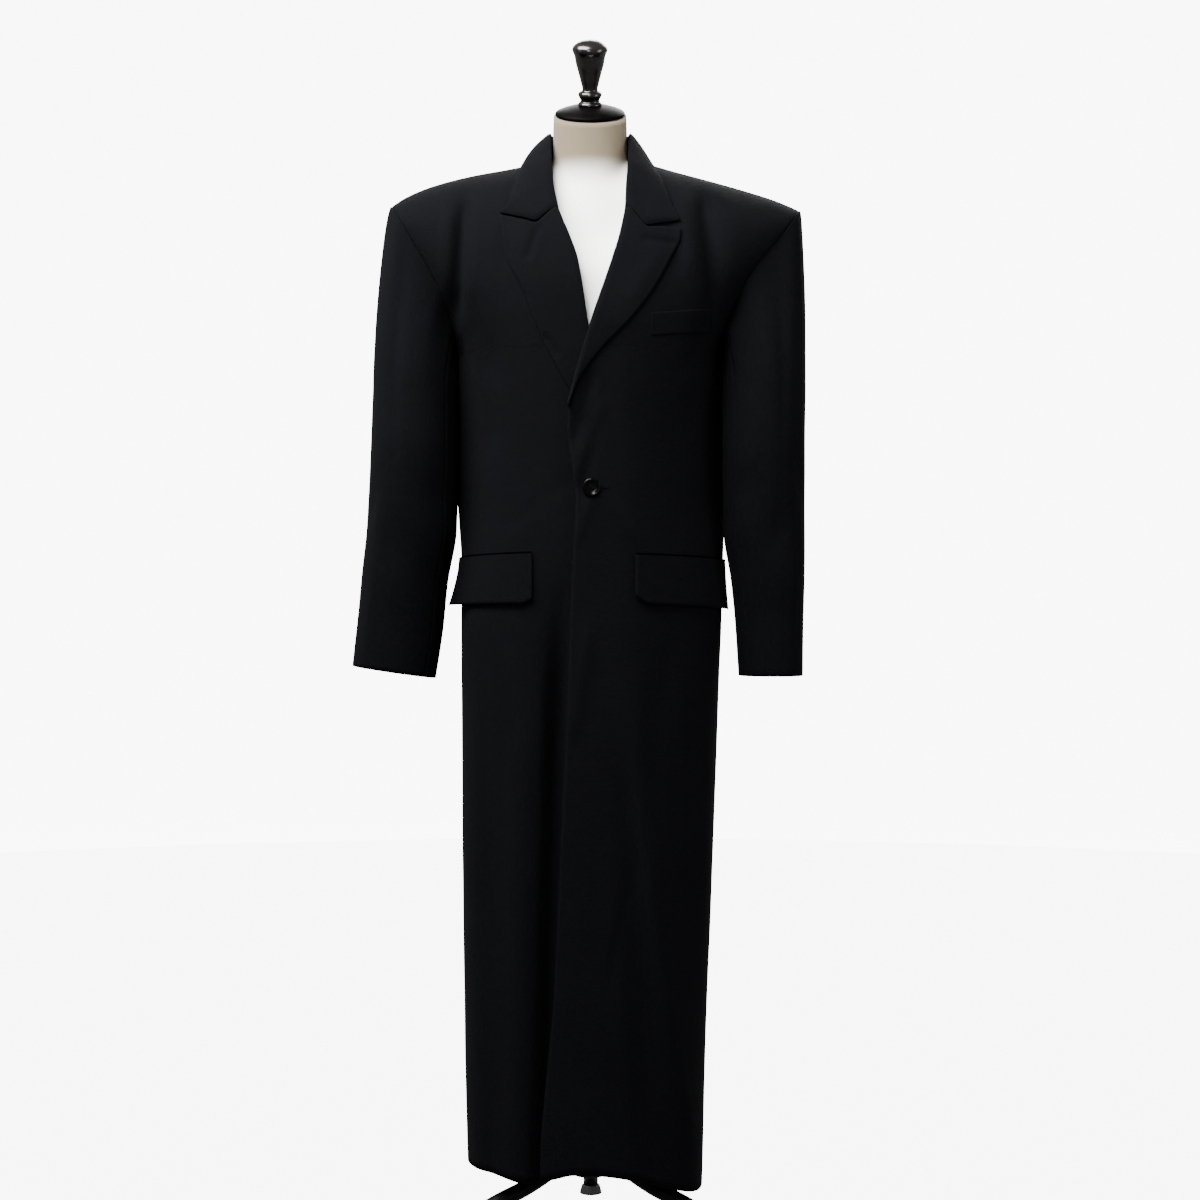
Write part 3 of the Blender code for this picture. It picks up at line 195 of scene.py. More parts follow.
# Hem height at each share of the way from a panel's inner edge to its side seam.
HEM = table("share right_front left_front right_back left_back", (
    (0.00, 0.1260, 0.1145, 0.1040, 0.1040),
    (0.10, 0.1260, 0.1205, 0.1040, 0.1035),
    (0.20, 0.1260, 0.1252, 0.1040, 0.1025),
    (0.30, 0.1245, 0.1252, 0.1045, 0.1010),
    (0.40, 0.1150, 0.1230, 0.1055, 0.0990),
    (0.50, 0.1095, 0.1195, 0.1070, 0.0975),
    (0.75, 0.1160, 0.1015, 0.1120, 0.0910),
    (1.00, 0.1185, 0.0850, 0.1185, 0.0850),
))

# The left front laps over the right front: its lift off the shared surface, and where it fades.
LAP_LIFT = 0.0080
LAP_FULL_REACH = 0.040
LAP_END_REACH = 0.125
LAP_FULL_Z = 1.270
LAP_END_Z = 1.360

# Largest folds of each panel: a line from top to foot, its width, and its height (a trough is
# negative).
FOLD_COLUMNS = "top_reach top_z foot_reach foot_z width height"
FOLDS = tables(
    FOLD_COLUMNS,
    right_front=(
        (0.172, 1.475, 0.186, 1.250, 0.013, -0.0080),
        (0.036, 0.960, 0.066, -0.250, 0.017, -0.0240),
        (0.090, 0.860, 0.104, -0.250, 0.020, 0.0070),
        (0.140, 0.880, 0.132, -0.250, 0.016, -0.0060),
    ),
    left_front=(
        (0.158, 1.485, 0.177, 1.240, 0.014, -0.0070),
        (0.045, 0.820, 0.175, -0.120, 0.022, 0.0100),
        (0.046, 0.780, 0.092, -0.100, 0.018, -0.0060),
        (0.010, 1.165, -0.012, 1.030, 0.009, -0.0030),
    ),
    right_back=(
        (0.170, 1.470, 0.176, 1.240, 0.018, -0.0060),
        (0.060, 1.050, 0.080, -0.250, 0.030, 0.0070),
        (0.120, 0.980, 0.135, -0.250, 0.024, -0.0060),
    ),
    left_back=(
        (0.170, 1.470, 0.176, 1.240, 0.018, -0.0060),
        (0.055, 1.000, 0.070, -0.250, 0.028, 0.0060),
        (0.110, 1.040, 0.125, -0.250, 0.024, -0.0060),
    ),
)
# Share of a fold's length over which it fades at each end, and widths at which it ends
FOLD_FADE = 0.22
FOLD_REACH = 3.0

# Sleeve rings from the cuff up to the armpit: the inner and outer reach, and how much higher the
# outer side is.
SLEEVES = tables(
    "z inner outer centre_y half_depth slope",
    right=(
        (0.800, 0.2147, 0.3315, -0.026, 0.042, 0.017),
        (0.870, 0.2036, 0.3241, -0.027, 0.048, 0.012),
        (0.930, 0.1974, 0.3183, -0.028, 0.055, 0.008),
        (1.000, 0.1858, 0.3106, -0.030, 0.063, 0.004),
        (1.100, 0.1836, 0.3051, -0.031, 0.071, 0.000),
        (1.195, 0.1841, 0.3017, -0.024, 0.076, 0.000),
    ),
    left=(
        (0.795, 0.2072, 0.2968, -0.028, 0.052, 0.000),
        (0.870, 0.2024, 0.2975, -0.028, 0.054, 0.000),
        (0.930, 0.1963, 0.2987, -0.030, 0.058, 0.000),
        (1.000, 0.1862, 0.2995, -0.029, 0.064, 0.000),
        (1.100, 0.1852, 0.2995, -0.031, 0.070, 0.000),
        (1.195, 0.1851, 0.3013, -0.024, 0.074, 0.000),
    ),
)
SLEEVE_ROUNDNESS = 2.2
# Sleeve seams, counted in panel rows round the armhole from the shoulder tip.
FRONT_SEAM_ROW = 10
BACK_SEAM_ROW = 17
# How far the sleeve head swells at the tip and under the arm, and how it leans out under it
HEAD_PUSH = 0.026
UNDERARM_PUSH = 0.009
UNDERARM_LEAN = math.radians(45.0)
# Steps round the armhole and over the sleeve for directions on it.
ARMHOLE_STEP = 0.08
TINY_STEP = 0.004

# Collar: the fold at its top, its outer edge on the coat, and the seam it is sewn to.
COLLAR = table("station fold_reach fold_y fold_z edge_reach edge_z seam_reach seam_z", (
    (0, 0.0000, 0.0580, 1.5550, 0.0000, 1.5000, 0.0000, 1.5130),
    (1, 0.0255, 0.0525, 1.5550, 0.0340, 1.5010, 0.0270, 1.5134),
    (2, 0.0445, 0.0385, 1.5560, 0.0620, 1.5035, 0.0450, 1.5147),
    (3, 0.0548, 0.0190, 1.5560, 0.0820, 1.5075, 0.0580, 1.5173),
    (4, 0.0566, 0.0000, 1.5550, 0.0925, 1.5110, 0.0620, 1.5185),
    (5, 0.0562, -0.0200, 1.5425, 0.0960, 1.5020, 0.0610, 1.5140),
    (6, 0.0548, -0.0400, 1.5230, 0.0995, 1.4890, 0.0597, 1.5020),
    (7, 0.0535, -0.0600, 1.5020, 0.1037, 1.4727, 0.0575, 1.4850),
    (8, 0.0505, -0.0830, 1.4680, 0.1127, 1.4374, 0.0530, 1.4580),
))
# Station at the shoulder seam, and step between the rows that are drawn
SHOULDER_STATION = 4
STATION_STEP = 0.5
# Stand: how far inside the neck seam it stands, its last station, and its gap to the fold. Beyond
# the station where the fall's foot starts, the fall itself begins at the seam.
STAND_INSET = 0.0026
STAND_END = 6.5
STAND_TOP_GAP = 0.0016
FALL_FOOT_START = 7.2
# The fold's neck side: how far in it lies and how far down it reaches. Then the fall's bulge.
NECK_FACE_SHIFT = 0.0022
ROLL_DEPTH = 0.0022
COLLAR_BULGE = {"right": 0.0040, "left": 0.0015}
# How much nearer the neck, and higher, than in the table the collar's outer edge lies on the
# shoulder.
COLLAR_DRAWN_IN = {"right": (0.0, 0.0), "left": (0.0085, 0.0022)}
# The rounded fold: how far out and up its crown lies, how far up its neck side ends, and how far
# out and up the fall starts.
CROWN = (0.0006, 0.0020)
CROWN_FOOT = 0.0002
FALL_START = (0.0035, 0.0004)
# Shares of the way down the stand, and from the fold out to the leaf's edge
STAND_SHARES = (0.0, 0.35, 0.70, 1.0)
COLLAR_SHARES = (0.06, 0.17, 0.33, 0.50, 0.67, 0.84, 1.0)
# Height of collar leaf and lapel over the front, beside the roll and at the edge
LEAF_LIFT = 0.0052
LEAF_EDGE_LIFT = 0.0034

# Where collar leaf and lapel meet: height at the roll, share of the way out to the notch's inner
# end, dips of both edges there, and the leaf's corner.
Notch = namedtuple("Notch", "roll_z inner_share collar_drop lapel_drop corner_reach corner_z")
NOTCH = {
    "right": Notch(1.4320, 0.33, 0.0160, 0.0178, 0.1226, 1.4268),
    "left": Notch(1.4328, 0.33, 0.0200, 0.0175, 0.1227, 1.4163),
}

# Outer edge of each lapel from its corner down to the break.
LAPEL_EDGE = table("share right_reach right_z left_reach left_z", (
    (0.00, 0.1226, 1.4238, 0.1231, 1.4042),
    (0.08, 0.1180, 1.3985, 0.1222, 1.3900),
    (0.20, 0.1127, 1.3664, 0.1120, 1.3680),
    (0.38, 0.0910, 1.3207, 0.0892, 1.3255),
    (0.58, 0.0690, 1.2640, 0.0581, 1.2826),
    (0.80, 0.0400, 1.2060, 0.0117, 1.2335),
    (0.92, 0.0180, 1.1720, -0.0142, 1.1950),
    (1.00, -0.0100, 1.1500, -0.0275, 1.1600),
))
BREAK_Z = {"right": 1.152, "left": 1.1625}
LAPEL_ROWS = 18
# Rolled inner edge of a lapel: distance from the front's edge, and height over its surface.
ROLL = table("reach lift", (
    (-0.0025, -0.0018),
    (-0.0027, 0.0010),
    (-0.0010, 0.0040),
    (0.0035, 0.0052),
))
# Shares of the way from the roll out to a lapel's edge
LAPEL_SHARES = (0.16, 0.33, 0.50, 0.67, 0.84, 1.0)
# The right lapel is pressed to this share of its lift below one height and is free above another.
PRESSED_LIFT_SHARE = 0.62
PRESSED_Z = 1.275
FREE_Z = 1.335
# Width under which the roll narrows with the lapel, its least width, and how fast the notch's dip
# fades down the lapel.
FULL_ROLL_WIDTH = 0.030
LEAST_WIDTH = 0.0001
DIP_FADE = 6

# Pocket flaps: reach of the inner edge, and heights of the top and foot at both ends.
Flap = namedtuple("Flap", "inner_reach top_inner_z top_outer_z foot_inner_z foot_outer_z")
FLAPS = {
    "right": Flap(0.0770, 0.9650, 0.9590, 0.8960, 0.8930),
    "left": Flap(0.0620, 0.9630, 0.9560, 0.8950, 0.8870),
}
# Turn round the coat's section at which a flap ends, its columns and rows, and its lifts
FLAP_OUTER_TURN = 0.045
FLAP_COLUMNS = 16
FLAP_ROWS = 4
FLAP_TOP_LIFT = 0.0034
FLAP_FOOT_LIFT = 0.0050
# How far a flap's outer end stands away, from which share of its width, and how that grows down it
FLAP_FLARE = {"right": 0.0130, "left": 0.0045}
FLAP_FLARE_START = 0.55
FLAP_FLARE_POWER = 1.5
# Rounded inner corner: its share of the flap's width and its height.
FLAP_CORNER = {"right": (0.05, 0.0060), "left": (0.10, 0.0110)}

# Chest welt on the wearer's left.
WELT_REACH = (0.083, 0.165)
WELT_FOOT_Z = (1.2560, 1.2660)
WELT_HEIGHT = 0.030
WELT_COLUMNS = 14
WELT_ROWS = 4

# Front button
BUTTON_Z = 1.051
BUTTON_REACH = 0.0025
BUTTON_RADIUS = 0.0125
BUTTON_THICKNESS = 0.0038

# Dress form: rings from the top of the neck to the bottom of the torso.
FORM = table("reach side_z front_y front_z back_y back_z", (
    (0.0512, 1.5812, -0.0500, 1.5589, 0.0530, 1.6048),
    (0.0520, 1.5550, -0.0505, 1.5345, 0.0530, 1.5720),
    (0.0520, 1.5300, -0.0530, 1.5050, 0.0515, 1.5350),
    (0.0545, 1.5150, -0.0590, 1.4700, 0.0525, 1.5020),
    (0.0700, 1.5132, -0.0700, 1.4300, 0.0600, 1.4700),
    (0.0900, 1.5090, -0.0800, 1.3950, 0.0700, 1.4400),
    (0.1150, 1.4985, -0.0920, 1.3700, 0.0810, 1.4150),
    (0.1450, 1.4820, -0.1030, 1.3480, 0.0930, 1.3850),
    (0.1700, 1.4600, -0.1080, 1.3300, 0.0980, 1.3600),
    (0.1790, 1.4350, -0.1110, 1.3120, 0.1000, 1.3380),
    (0.1780, 1.4050, -0.1130, 1.2970, 0.1000, 1.3200),
    (0.1700, 1.3650, -0.1150, 1.2800, 0.0990, 1.2980),
    (0.1580, 1.3200, -0.1160, 1.2600, 0.0970, 1.2700),
    (0.1490, 1.2600, -0.1140, 1.2300, 0.0930, 1.2300),
    (0.1360, 1.1900, -0.1040, 1.1700, 0.0850, 1.1800),
    (0.1220, 1.1200, -0.0920, 1.1100, 0.0780, 1.1150),
    (0.1180, 1.0600, -0.0870, 1.0600, 0.0770, 1.0600),
    (0.1280, 1.0000, -0.0920, 1.0000, 0.0870, 1.0000),
    (0.1470, 0.9300, -0.1010, 0.9300, 0.1010, 0.9300),
    (0.1560, 0.8700, -0.1040, 0.8700, 0.1070, 0.8700),
    (0.1540, 0.8300, -0.1010, 0.8300, 0.1040, 0.8300),
    (0.1480, 0.8160, -0.0950, 0.8160, 0.0980, 0.8160),
))
FORM_COLUMNS = 28
FORM_ROUNDNESS = 2.15
# Rings narrower than this are the neck's, which lie in one tilted plane each.
NECK_REACH = 0.054

# Neck cap and knob, tilted with the neck: radius and height, from the top down
NECK_TILT = math.radians(24.0)
CAP_CENTRE = Vector((0.0, 0.0015, 1.5822))
CAP_PROFILE = ((0.0, 0.0150), (0.0165, 0.0150), (0.0290, 0.0125), (0.0400, 0.0092),
               (0.0470, 0.0062), (0.0492, 0.0042), (0.0492, 0.0015), (0.0478, 0.0003),
               (0.0, 0.0003))
KNOB_SEAT = 0.0153
KNOB = ((0.0000, 0.0905), (0.0110, 0.0890), (0.0182, 0.0855), (0.0232, 0.0810),
        (0.0248, 0.0770), (0.0240, 0.0735), (0.0218, 0.0680), (0.0193, 0.0552),
        (0.0160, 0.0435), (0.0132, 0.0325), (0.0111, 0.0240), (0.0111, 0.0205),
        (0.0150, 0.0182), (0.0167, 0.0147), (0.0152, 0.0105), (0.0132, 0.0072),
        (0.0136, 0.0050), (0.0158, 0.0034), (0.0158, 0.0000), (0.0000, 0.0000))

# Stand: pole, hub from the top down, legs by their turn about the axis, and pads
POLE_RADIUS = 0.0125
HUB_TOP_Z = 0.165
HUB_PROFILE = ((0.0, 0.165), (0.018, 0.165), (0.022, 0.160), (0.024, 0.145), (0.030, 0.138),
               (0.030, 0.100), (0.024, 0.092), (0.0, 0.090))
LEG_TURNS = (-30.0, 90.0, 210.0)
LEG_RADIUS = 0.0110
LEG = table("reach z", (
    (0.0303, 0.1180),
    (0.0420, 0.1180),
    (0.0700, 0.1010),
    (0.1050, 0.0855),
    (0.1400, 0.0745),
    (0.1750, 0.0610),
    (0.2050, 0.0450),
    (0.2260, 0.0290),
    (0.2350, 0.0190),
    (0.2350, 0.0128),
))
PAD_RADIUS = 0.0170
PAD_HEIGHT = 0.0125
PAD_TAPER = 0.8

# Sides of round bodies, the radius under which a ring is a single point, and soft edges: width on
# the cap and on the stand, steps, and the least angle that is softened.
BUTTON_SIDES = 64
CAP_SIDES = 64
KNOB_SIDES = 48
STAND_SIDES = 48
LEG_SIDES = 24
THREAD_SIDES = 8
LEAST_RADIUS = 0.0002
CAP_SOFTNESS = 0.0008
STAND_SOFTNESS = 0.001
SOFT_STEPS = 3
SOFT_ANGLE = math.radians(25.0)

# Rows and columns of panels and sleeves, finer than the solids have. Powers crowd the rows towards
# the armhole. All other grids get REFINE times as many rows and columns.
PANEL_ROW_STEP = 0.25
LOWER_STEPS = 104
LOWER_POWER = 1.12
FRONT_COLUMNS = 64
# Columns of a back on both sides of the neck point
BACK_COLUMNS = (20, 40)
SLEEVE_COLUMN_STEP = 0.25
HEAD_STEPS = 22
HEAD_POWER = 1.3
SLEEVE_STEPS = 64
REFINE = 4
# No row is drawn between this one and the armpit's, where they would be a millimetre or so apart.
LAST_CLOSE_ROW = 12.0

# Smaller creases of each panel, in the same columns as the folds
CREASES = tables(
    FOLD_COLUMNS,
    right_front=(
        (0.168, 1.462, 0.182, 1.280, 0.0085, -0.0060),
        (0.190, 1.450, 0.200, 1.300, 0.0110, 0.0024),
        (0.140, 1.270, 0.128, 1.090, 0.0130, -0.0022),
        (0.095, 1.505, 0.120, 1.330, 0.012, -0.0016),
        (0.175, 1.330, 0.120, 1.180, 0.014, -0.0018),
        (0.010, 1.075, 0.130, 0.985, 0.012, -0.0012),
        (0.066, 0.930, 0.064, 0.030, 0.0300, -0.0036),
        (0.060, 0.840, 0.072, 0.130, 0.010, 0.0020),
        (0.118, 0.800, 0.116, 0.110, 0.011, -0.0022),
    ),
    left_front=(
        (0.151, 1.470, 0.170, 1.280, 0.0085, -0.0060),
        (0.128, 1.465, 0.142, 1.330, 0.0110, 0.0022),
        (0.152, 1.270, 0.140, 1.110, 0.0130, -0.0022),
        (0.020, 1.172, -0.024, 1.052, 0.0065, 0.0034),
        (0.006, 1.215, -0.026, 1.095, 0.0080, -0.0040),
        (0.010, 1.052, -0.020, 0.975, 0.0070, 0.0018),
        (0.170, 1.465, 0.184, 1.290, 0.0200, -0.0030),
        (0.095, 1.500, 0.125, 1.330, 0.012, -0.0016),
        (0.176, 1.320, 0.118, 1.190, 0.014, -0.0018),
        (0.010, 1.050, 0.110, 0.930, 0.013, 0.0014),
        (0.004, 0.890, -0.026, 0.700, 0.010, 0.0018),
        (0.110, 0.870, 0.060, 0.480, 0.018, -0.0022),
        (0.050, 0.690, 0.154, 0.100, 0.0055, 0.0020),
        (0.060, 0.540, 0.022, 0.360, 0.0080, -0.0014),
        (0.145, 0.800, 0.150, 0.300, 0.013, -0.0024),
    ),
    right_back=(
        (0.022, 1.180, 0.110, 1.020, 0.018, -0.0018),
        (0.150, 1.330, 0.100, 1.180, 0.016, -0.0020),
        (0.030, 0.900, 0.026, 0.120, 0.014, -0.0026),
        (0.150, 0.880, 0.150, 0.140, 0.016, -0.0030),
    ),
    left_back=(
        (0.022, 1.170, 0.112, 1.030, 0.018, -0.0018),
        (0.150, 1.330, 0.100, 1.180, 0.016, -0.0020),
        (0.028, 0.940, 0.022, 0.100, 0.014, -0.0022),
        (0.145, 0.900, 0.150, 0.140, 0.016, -0.0030),
    ),
)

# Creases of the sleeves: turn and place down the sleeve of the middle, width in turn and in place,
# how the turn drifts with the place, and height.
DENTS = tables(
    "turn down wide tall drift height",
    right=(
        (1.15, 0.72, 0.16, 0.50, 0.10, -0.0035),
        (0.55, 1.42, 0.26, 0.10, -1.60, -0.0028),
        (1.30, 1.56, 0.30, 0.09, 1.30, -0.0026),
        (2.20, 1.38, 0.40, 0.07, 1.20, -0.0032),
        (0.85, 1.78, 0.18, 0.30, 0.00, 0.0018),
        (-1.20, 1.45, 0.40, 0.08, 1.00, -0.0030),
        (-0.90, 0.70, 0.18, 0.50, 0.00, -0.0030),
    ),
    left=(
        (1.20, 0.74, 0.16, 0.50, 0.10, -0.0035),
        (0.70, 1.30, 0.24, 0.12, -1.50, -0.0024),
        (1.35, 1.50, 0.28, 0.10, 1.40, -0.0028),
        (2.15, 1.35, 0.40, 0.07, -1.10, -0.0032),
        (0.95, 1.75, 0.17, 0.34, 0.10, 0.0020),
        (-1.20, 1.42, 0.40, 0.08, -1.00, -0.0030),
        (-0.90, 0.70, 0.18, 0.50, 0.00, -0.0030),
    ),
)

# Small creases of the lapels: a line from top to foot seen from the front, width and height.
PINCHES = tables(
    "top_x top_z foot_x foot_z width height",
    right=(
        (-0.0700, 1.4040, -0.0835, 1.3640, 0.0050, -0.0022),
        (-0.0585, 1.2540, -0.0440, 1.2300, 0.0040, -0.0018),
        (-0.1020, 1.3300, -0.0860, 1.3080, 0.0040, -0.0012),
    ),
    left=(
        (0.0760, 1.3880, 0.1160, 1.3830, 0.0060, -0.0018),
        (0.0900, 1.3600, 0.0600, 1.3100, 0.0120, 0.0012),
    ),
)

# Unevenness of the cloth: size of its waves across and down, and height.
WAVES = table("across down height", ((0.075, 0.260, 0.0014), (0.030, 0.090, 0.0005)))
WAVE_SEEDS = {"right_front": 2.0, "left_front": 8.0, "right_back": 1.0, "left_back": 7.0,
              "right_sleeve": -7.0, "left_sleeve": 7.0}
# Distance from a seam at which the waves have their full height, on panels and on sleeves
WAVE_FADE = 0.03
SLEEVE_WAVE_FADE = 0.02
# Width of a sleeve's columns beside its seams, and share of its head over which waves and dents
# grow
SLEEVE_COLUMN_WIDTH = 0.006
HEAD_CALM = 0.25
# The gorge seam and the welt lie closer than in the solids.
GORGE_SHOWN = 0.0006
WELT_SHOWN_LIFT = 0.0010
WELT_WALL = 0.0007
# Dip of the cloth along a seam, on panels and on sleeves, and its width; swell of a sheet's rim
SEAM_DIP = 0.0012
SLEEVE_SEAM_DIP = 0.0005
SEAM_DIP_WIDTH = 0.0026
RIM = 0.0004
# Painted shadow along the top of a flap, where the pocket's jet lies in shade: its share of the first
# grid row, and the least tilt of the rim faces that are painted dark with it.
JET_SHADOW_SHARE = 0.45
JET_SHADOW_TILT = 0.35

# Flat cut of the part of each sheet that shows, without seam allowances, and what it lies on.
Cut = namedtuple("Cut", "width length area held rests_on")

# Button: shares of its radius and thickness from its face round to its back.
BUTTON_FACE = ((0.0, 0.62), (0.30, 0.62), (0.55, 0.66), (0.68, 0.84), (0.78, 0.98), (0.86, 1.0),
               (0.94, 0.90), (0.985, 0.70), (1.0, 0.50), (0.985, 0.30), (0.94, 0.12), (0.80, 0.0),
               (0.0, 0.0))
# Thread: reach of its holes, height of its ends and crown as shares of the button's thickness, how
# near its bends come to the crown, and its radius
THREAD_SPREAD = 0.0021
THREAD_FOOT = 0.60
THREAD_CROWN = 0.90
THREAD_BEND = 0.6
THREAD_RADIUS = 0.00045
# End of the buttonhole beside the button: its reaches, how far its two rows of stitches lie from
# its middle, their lift, radius and steps
BUTTONHOLE = (0.0132, 0.0230)
STITCH_SHIFT = 0.0007
STITCH_LIFT = 0.0004
STITCH_RADIUS = 0.00055
STITCH_STEPS = 8

# Cloth's look: turns of its twill, warp and weft, the wave texture's period at scale 1 and its
# unevenness, loose fibres and slow patches, depth of the relief as a share of the pitch, shares of
# patches and threads in the shade, and where on it the dark and the light colour lie
THREAD_TURNS = (math.radians(45.0), 0.0, math.radians(90.0))
WAVE_PERIOD = 0.314
THREAD_WAVE = {"Distortion": 0.9, "Detail": 1.0, "Detail Scale": 1.4}
FIBRES = {"Scale": 900.0, "Detail": 4.0, "Roughness": 0.6}
PATCHES = {"Scale": 9.0, "Detail": 3.0}
RELIEF_SHARE = 0.35
PATCH_SHADE = 0.35
THREAD_SHADE = 0.40
CLOTH_STOPS = (0.15, 0.95)
CLOTH_SHEEN_ROUGHNESS = 0.45
CLOTH_SPECULAR = 0.025

# Hard surfaces: detail of their marks, where the dark and the light colour lie, least and greatest
# share of the roughness, relief, and roughness of the coat
MARK_DETAIL = 5.0
HARD_STOPS = (0.35, 0.70)
GLOSS_SHARES = (0.8, 1.3)
HARD_RELIEF = {"Strength": 0.10, "Distance": 0.0004}
COAT_ROUGHNESS = 0.12

# Painted shade on the linen: darker and warmer towards the top of the neck, in shade under the cap
Fade = namedtuple("Fade", "foot_z top_z colour")
NECK_PAINTED_SHADE = Fade(1.466, 1.520, (0.125, 0.103, 0.072))

# Backdrop: reach and height from the floor's rim up the wall
BACKDROP = ((5.0, 0.0), (5.6, 0.08), (6.1, 0.30), (6.5, 0.70), (6.75, 1.3), (6.8, 2.0), (6.8, 8.0))
BACKDROP_SIDES = 64
BACKDROP_GREY = 0.93
BACKDROP_ROUGHNESS = 0.95
BACKDROP_GLOW = 8.0

# Studio lights, each a soft rectangle in metres with its power in watts, and the even surround
LIGHTS = table("name spot aim width height power", (
    ("above", (-1.15, -1.15, 3.35), (0.0, 0.0, 1.2), 2.2, 1.2, 600.0),
    ("left", (-2.8, -1.4, 1.9), (0.0, 0.0, 1.1), 1.2, 2.4, 16.0),
    ("right", (2.8, -1.4, 1.6), (0.0, 0.0, 0.9), 1.2, 2.4, 84.0),
    ("front", (-0.5, -3.6, 2.0), (0.0, 0.0, 1.45), 0.8, 0.8, 75.0),
    ("behind", (0.5, 2.4, 3.2), (0.0, 0.0, 1.1), 2.4, 1.6, 200.0),
))
SURROUND_STRENGTH = 0.46

# Camera: distance from the axis, height, shift to the side, width of the sensor, focal length as a
# share of that width, and how far it sees
CAMERA_DISTANCE = 3.0
CAMERA_Z = 0.90
CAMERA_SHIFT = 0.014
SENSOR = 36.0
FOCAL_SHARE = 2130.0 / 1200.0
CAMERA_END = 60.0

# Worked-out curves of tables and starts of sleeves, kept for the next time
CURVES = {}
LEAVES = {}


def smooth(rows, column, at):
    """Named column of a table at a place in its first column, on a smooth monotone curve."""
    key = (id(rows), column)
    if key not in CURVES:
        places = [row[0] for row in rows]
        values = [getattr(row, column) for row in rows]
        chords = [(values[i + 1] - values[i]) / (places[i + 1] - places[i])
                  for i in range(len(rows) - 1)]
        slopes = [chords[0]]
        for before, after in zip(chords, chords[1:]):
            slopes.append(0.0 if before * after <= 0.0 else 2.0 * before * after / (before + after))
        slopes.append(chords[-1])
        CURVES[key] = (places, values, slopes)
    places, values, slopes = CURVES[key]
    if at <= places[0]:
        return values[0]
    if at >= places[-1]:
        return values[-1]
    low = bisect_right(places, at) - 1
    step = places[low + 1] - places[low]
    return hermite(values[low], values[low + 1], slopes[low] * step, slopes[low + 1] * step,
                   (at - places[low]) / step)


def clamp(value, low=0.0, high=1.0):
    """Value held between low and high."""
    return max(low, min(high, value))


def mix(a, b, share):
    """Value a share of the way from a to b."""
    return a + (b - a) * share


def ease(value):
    """Smooth step from 0 to 1."""
    value = clamp(value)
    return value * value * (3.0 - 2.0 * value)


def hermite(start, end, leave, arrive, share):
    """Cubic from start to end with the given end slopes; works for numbers and vectors."""
    square = share * share
    cube = square * share
    return (start * (2.0 * cube - 3.0 * square + 1.0) + leave * (cube - 2.0 * square + share)
            + end * (3.0 * square - 2.0 * cube) + arrive * (cube - square))


def shoulder_z(side, reach):
    """Height of the shoulder line."""
    return smooth(SHOULDER, side, abs(reach))


def half_width(side, z):
    """Reach of the coat's side at a height."""
    return smooth(BODY, side, z)


def depth_share(face, side, reach, z):
    """Share of the full depth that the chest or back has at this distance under the shoulder."""
    top = shoulder_z(side, reach)
    share = clamp((top - z) / (top - ARMPIT_Z))
    fullness, power = ROLL_OFF[face]
    return (1.0 - (1.0 - share) ** fullness) ** power


def lap_lift(reach, z):
    """Lift of the left front where it laps over the right front."""
    near_edge = ease((LAP_END_REACH - reach) / (LAP_END_REACH - LAP_FULL_REACH))
    below_roll = ease((LAP_END_Z - z) / (LAP_END_Z - LAP_FULL_Z))
    return LAP_LIFT * near_edge * below_roll


def round_depth(face, side, reach, z):
    """Distance of a plain rounded body from the plane of the side seams."""
    full = smooth(BODY, face, z) * depth_share(face, side, reach, z)
    across = clamp(abs(reach) / half_width(side, z))
    return full * (1.0 - across ** ROUNDNESS) ** (1.0 / ROUNDNESS)


def plain_depth(face, side, reach, z):
    """Distance of the unfolded surface from the plane of the side seams."""
    depth = round_depth(face, side, reach, z)
    near = ease(1.0 - abs(z - ARMPIT_Z) / ARMPIT_SPREAD_HEIGHT)
    near *= ease((half_width(side, ARMPIT_Z) - abs(reach)) / ARMPIT_SPREAD_REACH)
    if near <= 0.0:
        return depth
    total = 0.0
    for share in SPREAD_SHARES:
        total += round_depth(face, side, reach, z + ARMPIT_SPREAD * near * share)
    return total / len(SPREAD_SHARES)


def fold_height(panel, reach, z):
    """Sum of the folds and creases of one panel at a place."""
    total = 0.0
    for fold in FOLDS[panel] + CREASES[panel]:
        along = (fold.top_z - z) / (fold.top_z - fold.foot_z)
        if 0.0 < along < 1.0:
            across = (reach - mix(fold.top_reach, fold.foot_reach, along)) / fold.width
            if abs(across) < FOLD_REACH:
                fade = ease(along / FOLD_FADE) * ease((1.0 - along) / FOLD_FADE)
                total += fold.height * fade * math.exp(-across * across)
    return total


def waves(point, seed):
    """Slow uneven waves of the cloth at a point."""
    total = 0.0
    for wave in WAVES:
        place = Vector((point.x / wave.across, point.y / wave.across, point.z / wave.down + seed))
        total += noise.noise(place) * wave.height
    return total


def seam_back(side, reach, z):
    """How far back a place is moved with the side seam near it."""
    share = clamp(abs(reach) / half_width(side, z))
    return smooth(SIDE_SEAM, "back", z) * share ** SEAM_BACK_POWER


def surface(face, side, reach, z):
    """Outer point of the coat, folds, creases and lap included."""
    depth = plain_depth(face, side, reach, z)
    if depth > 0.0:
        near_side = clamp(depth / SIDE_FADE_DEPTH)
        depth += fold_height(side + "_" + face, reach, z) * near_side
        if face == "front" and side == "left":
            depth += lap_lift(reach, z) * near_side
    return Vector((SIDES[side] * reach, AWAY[face] * depth + seam_back(side, reach, z), z))


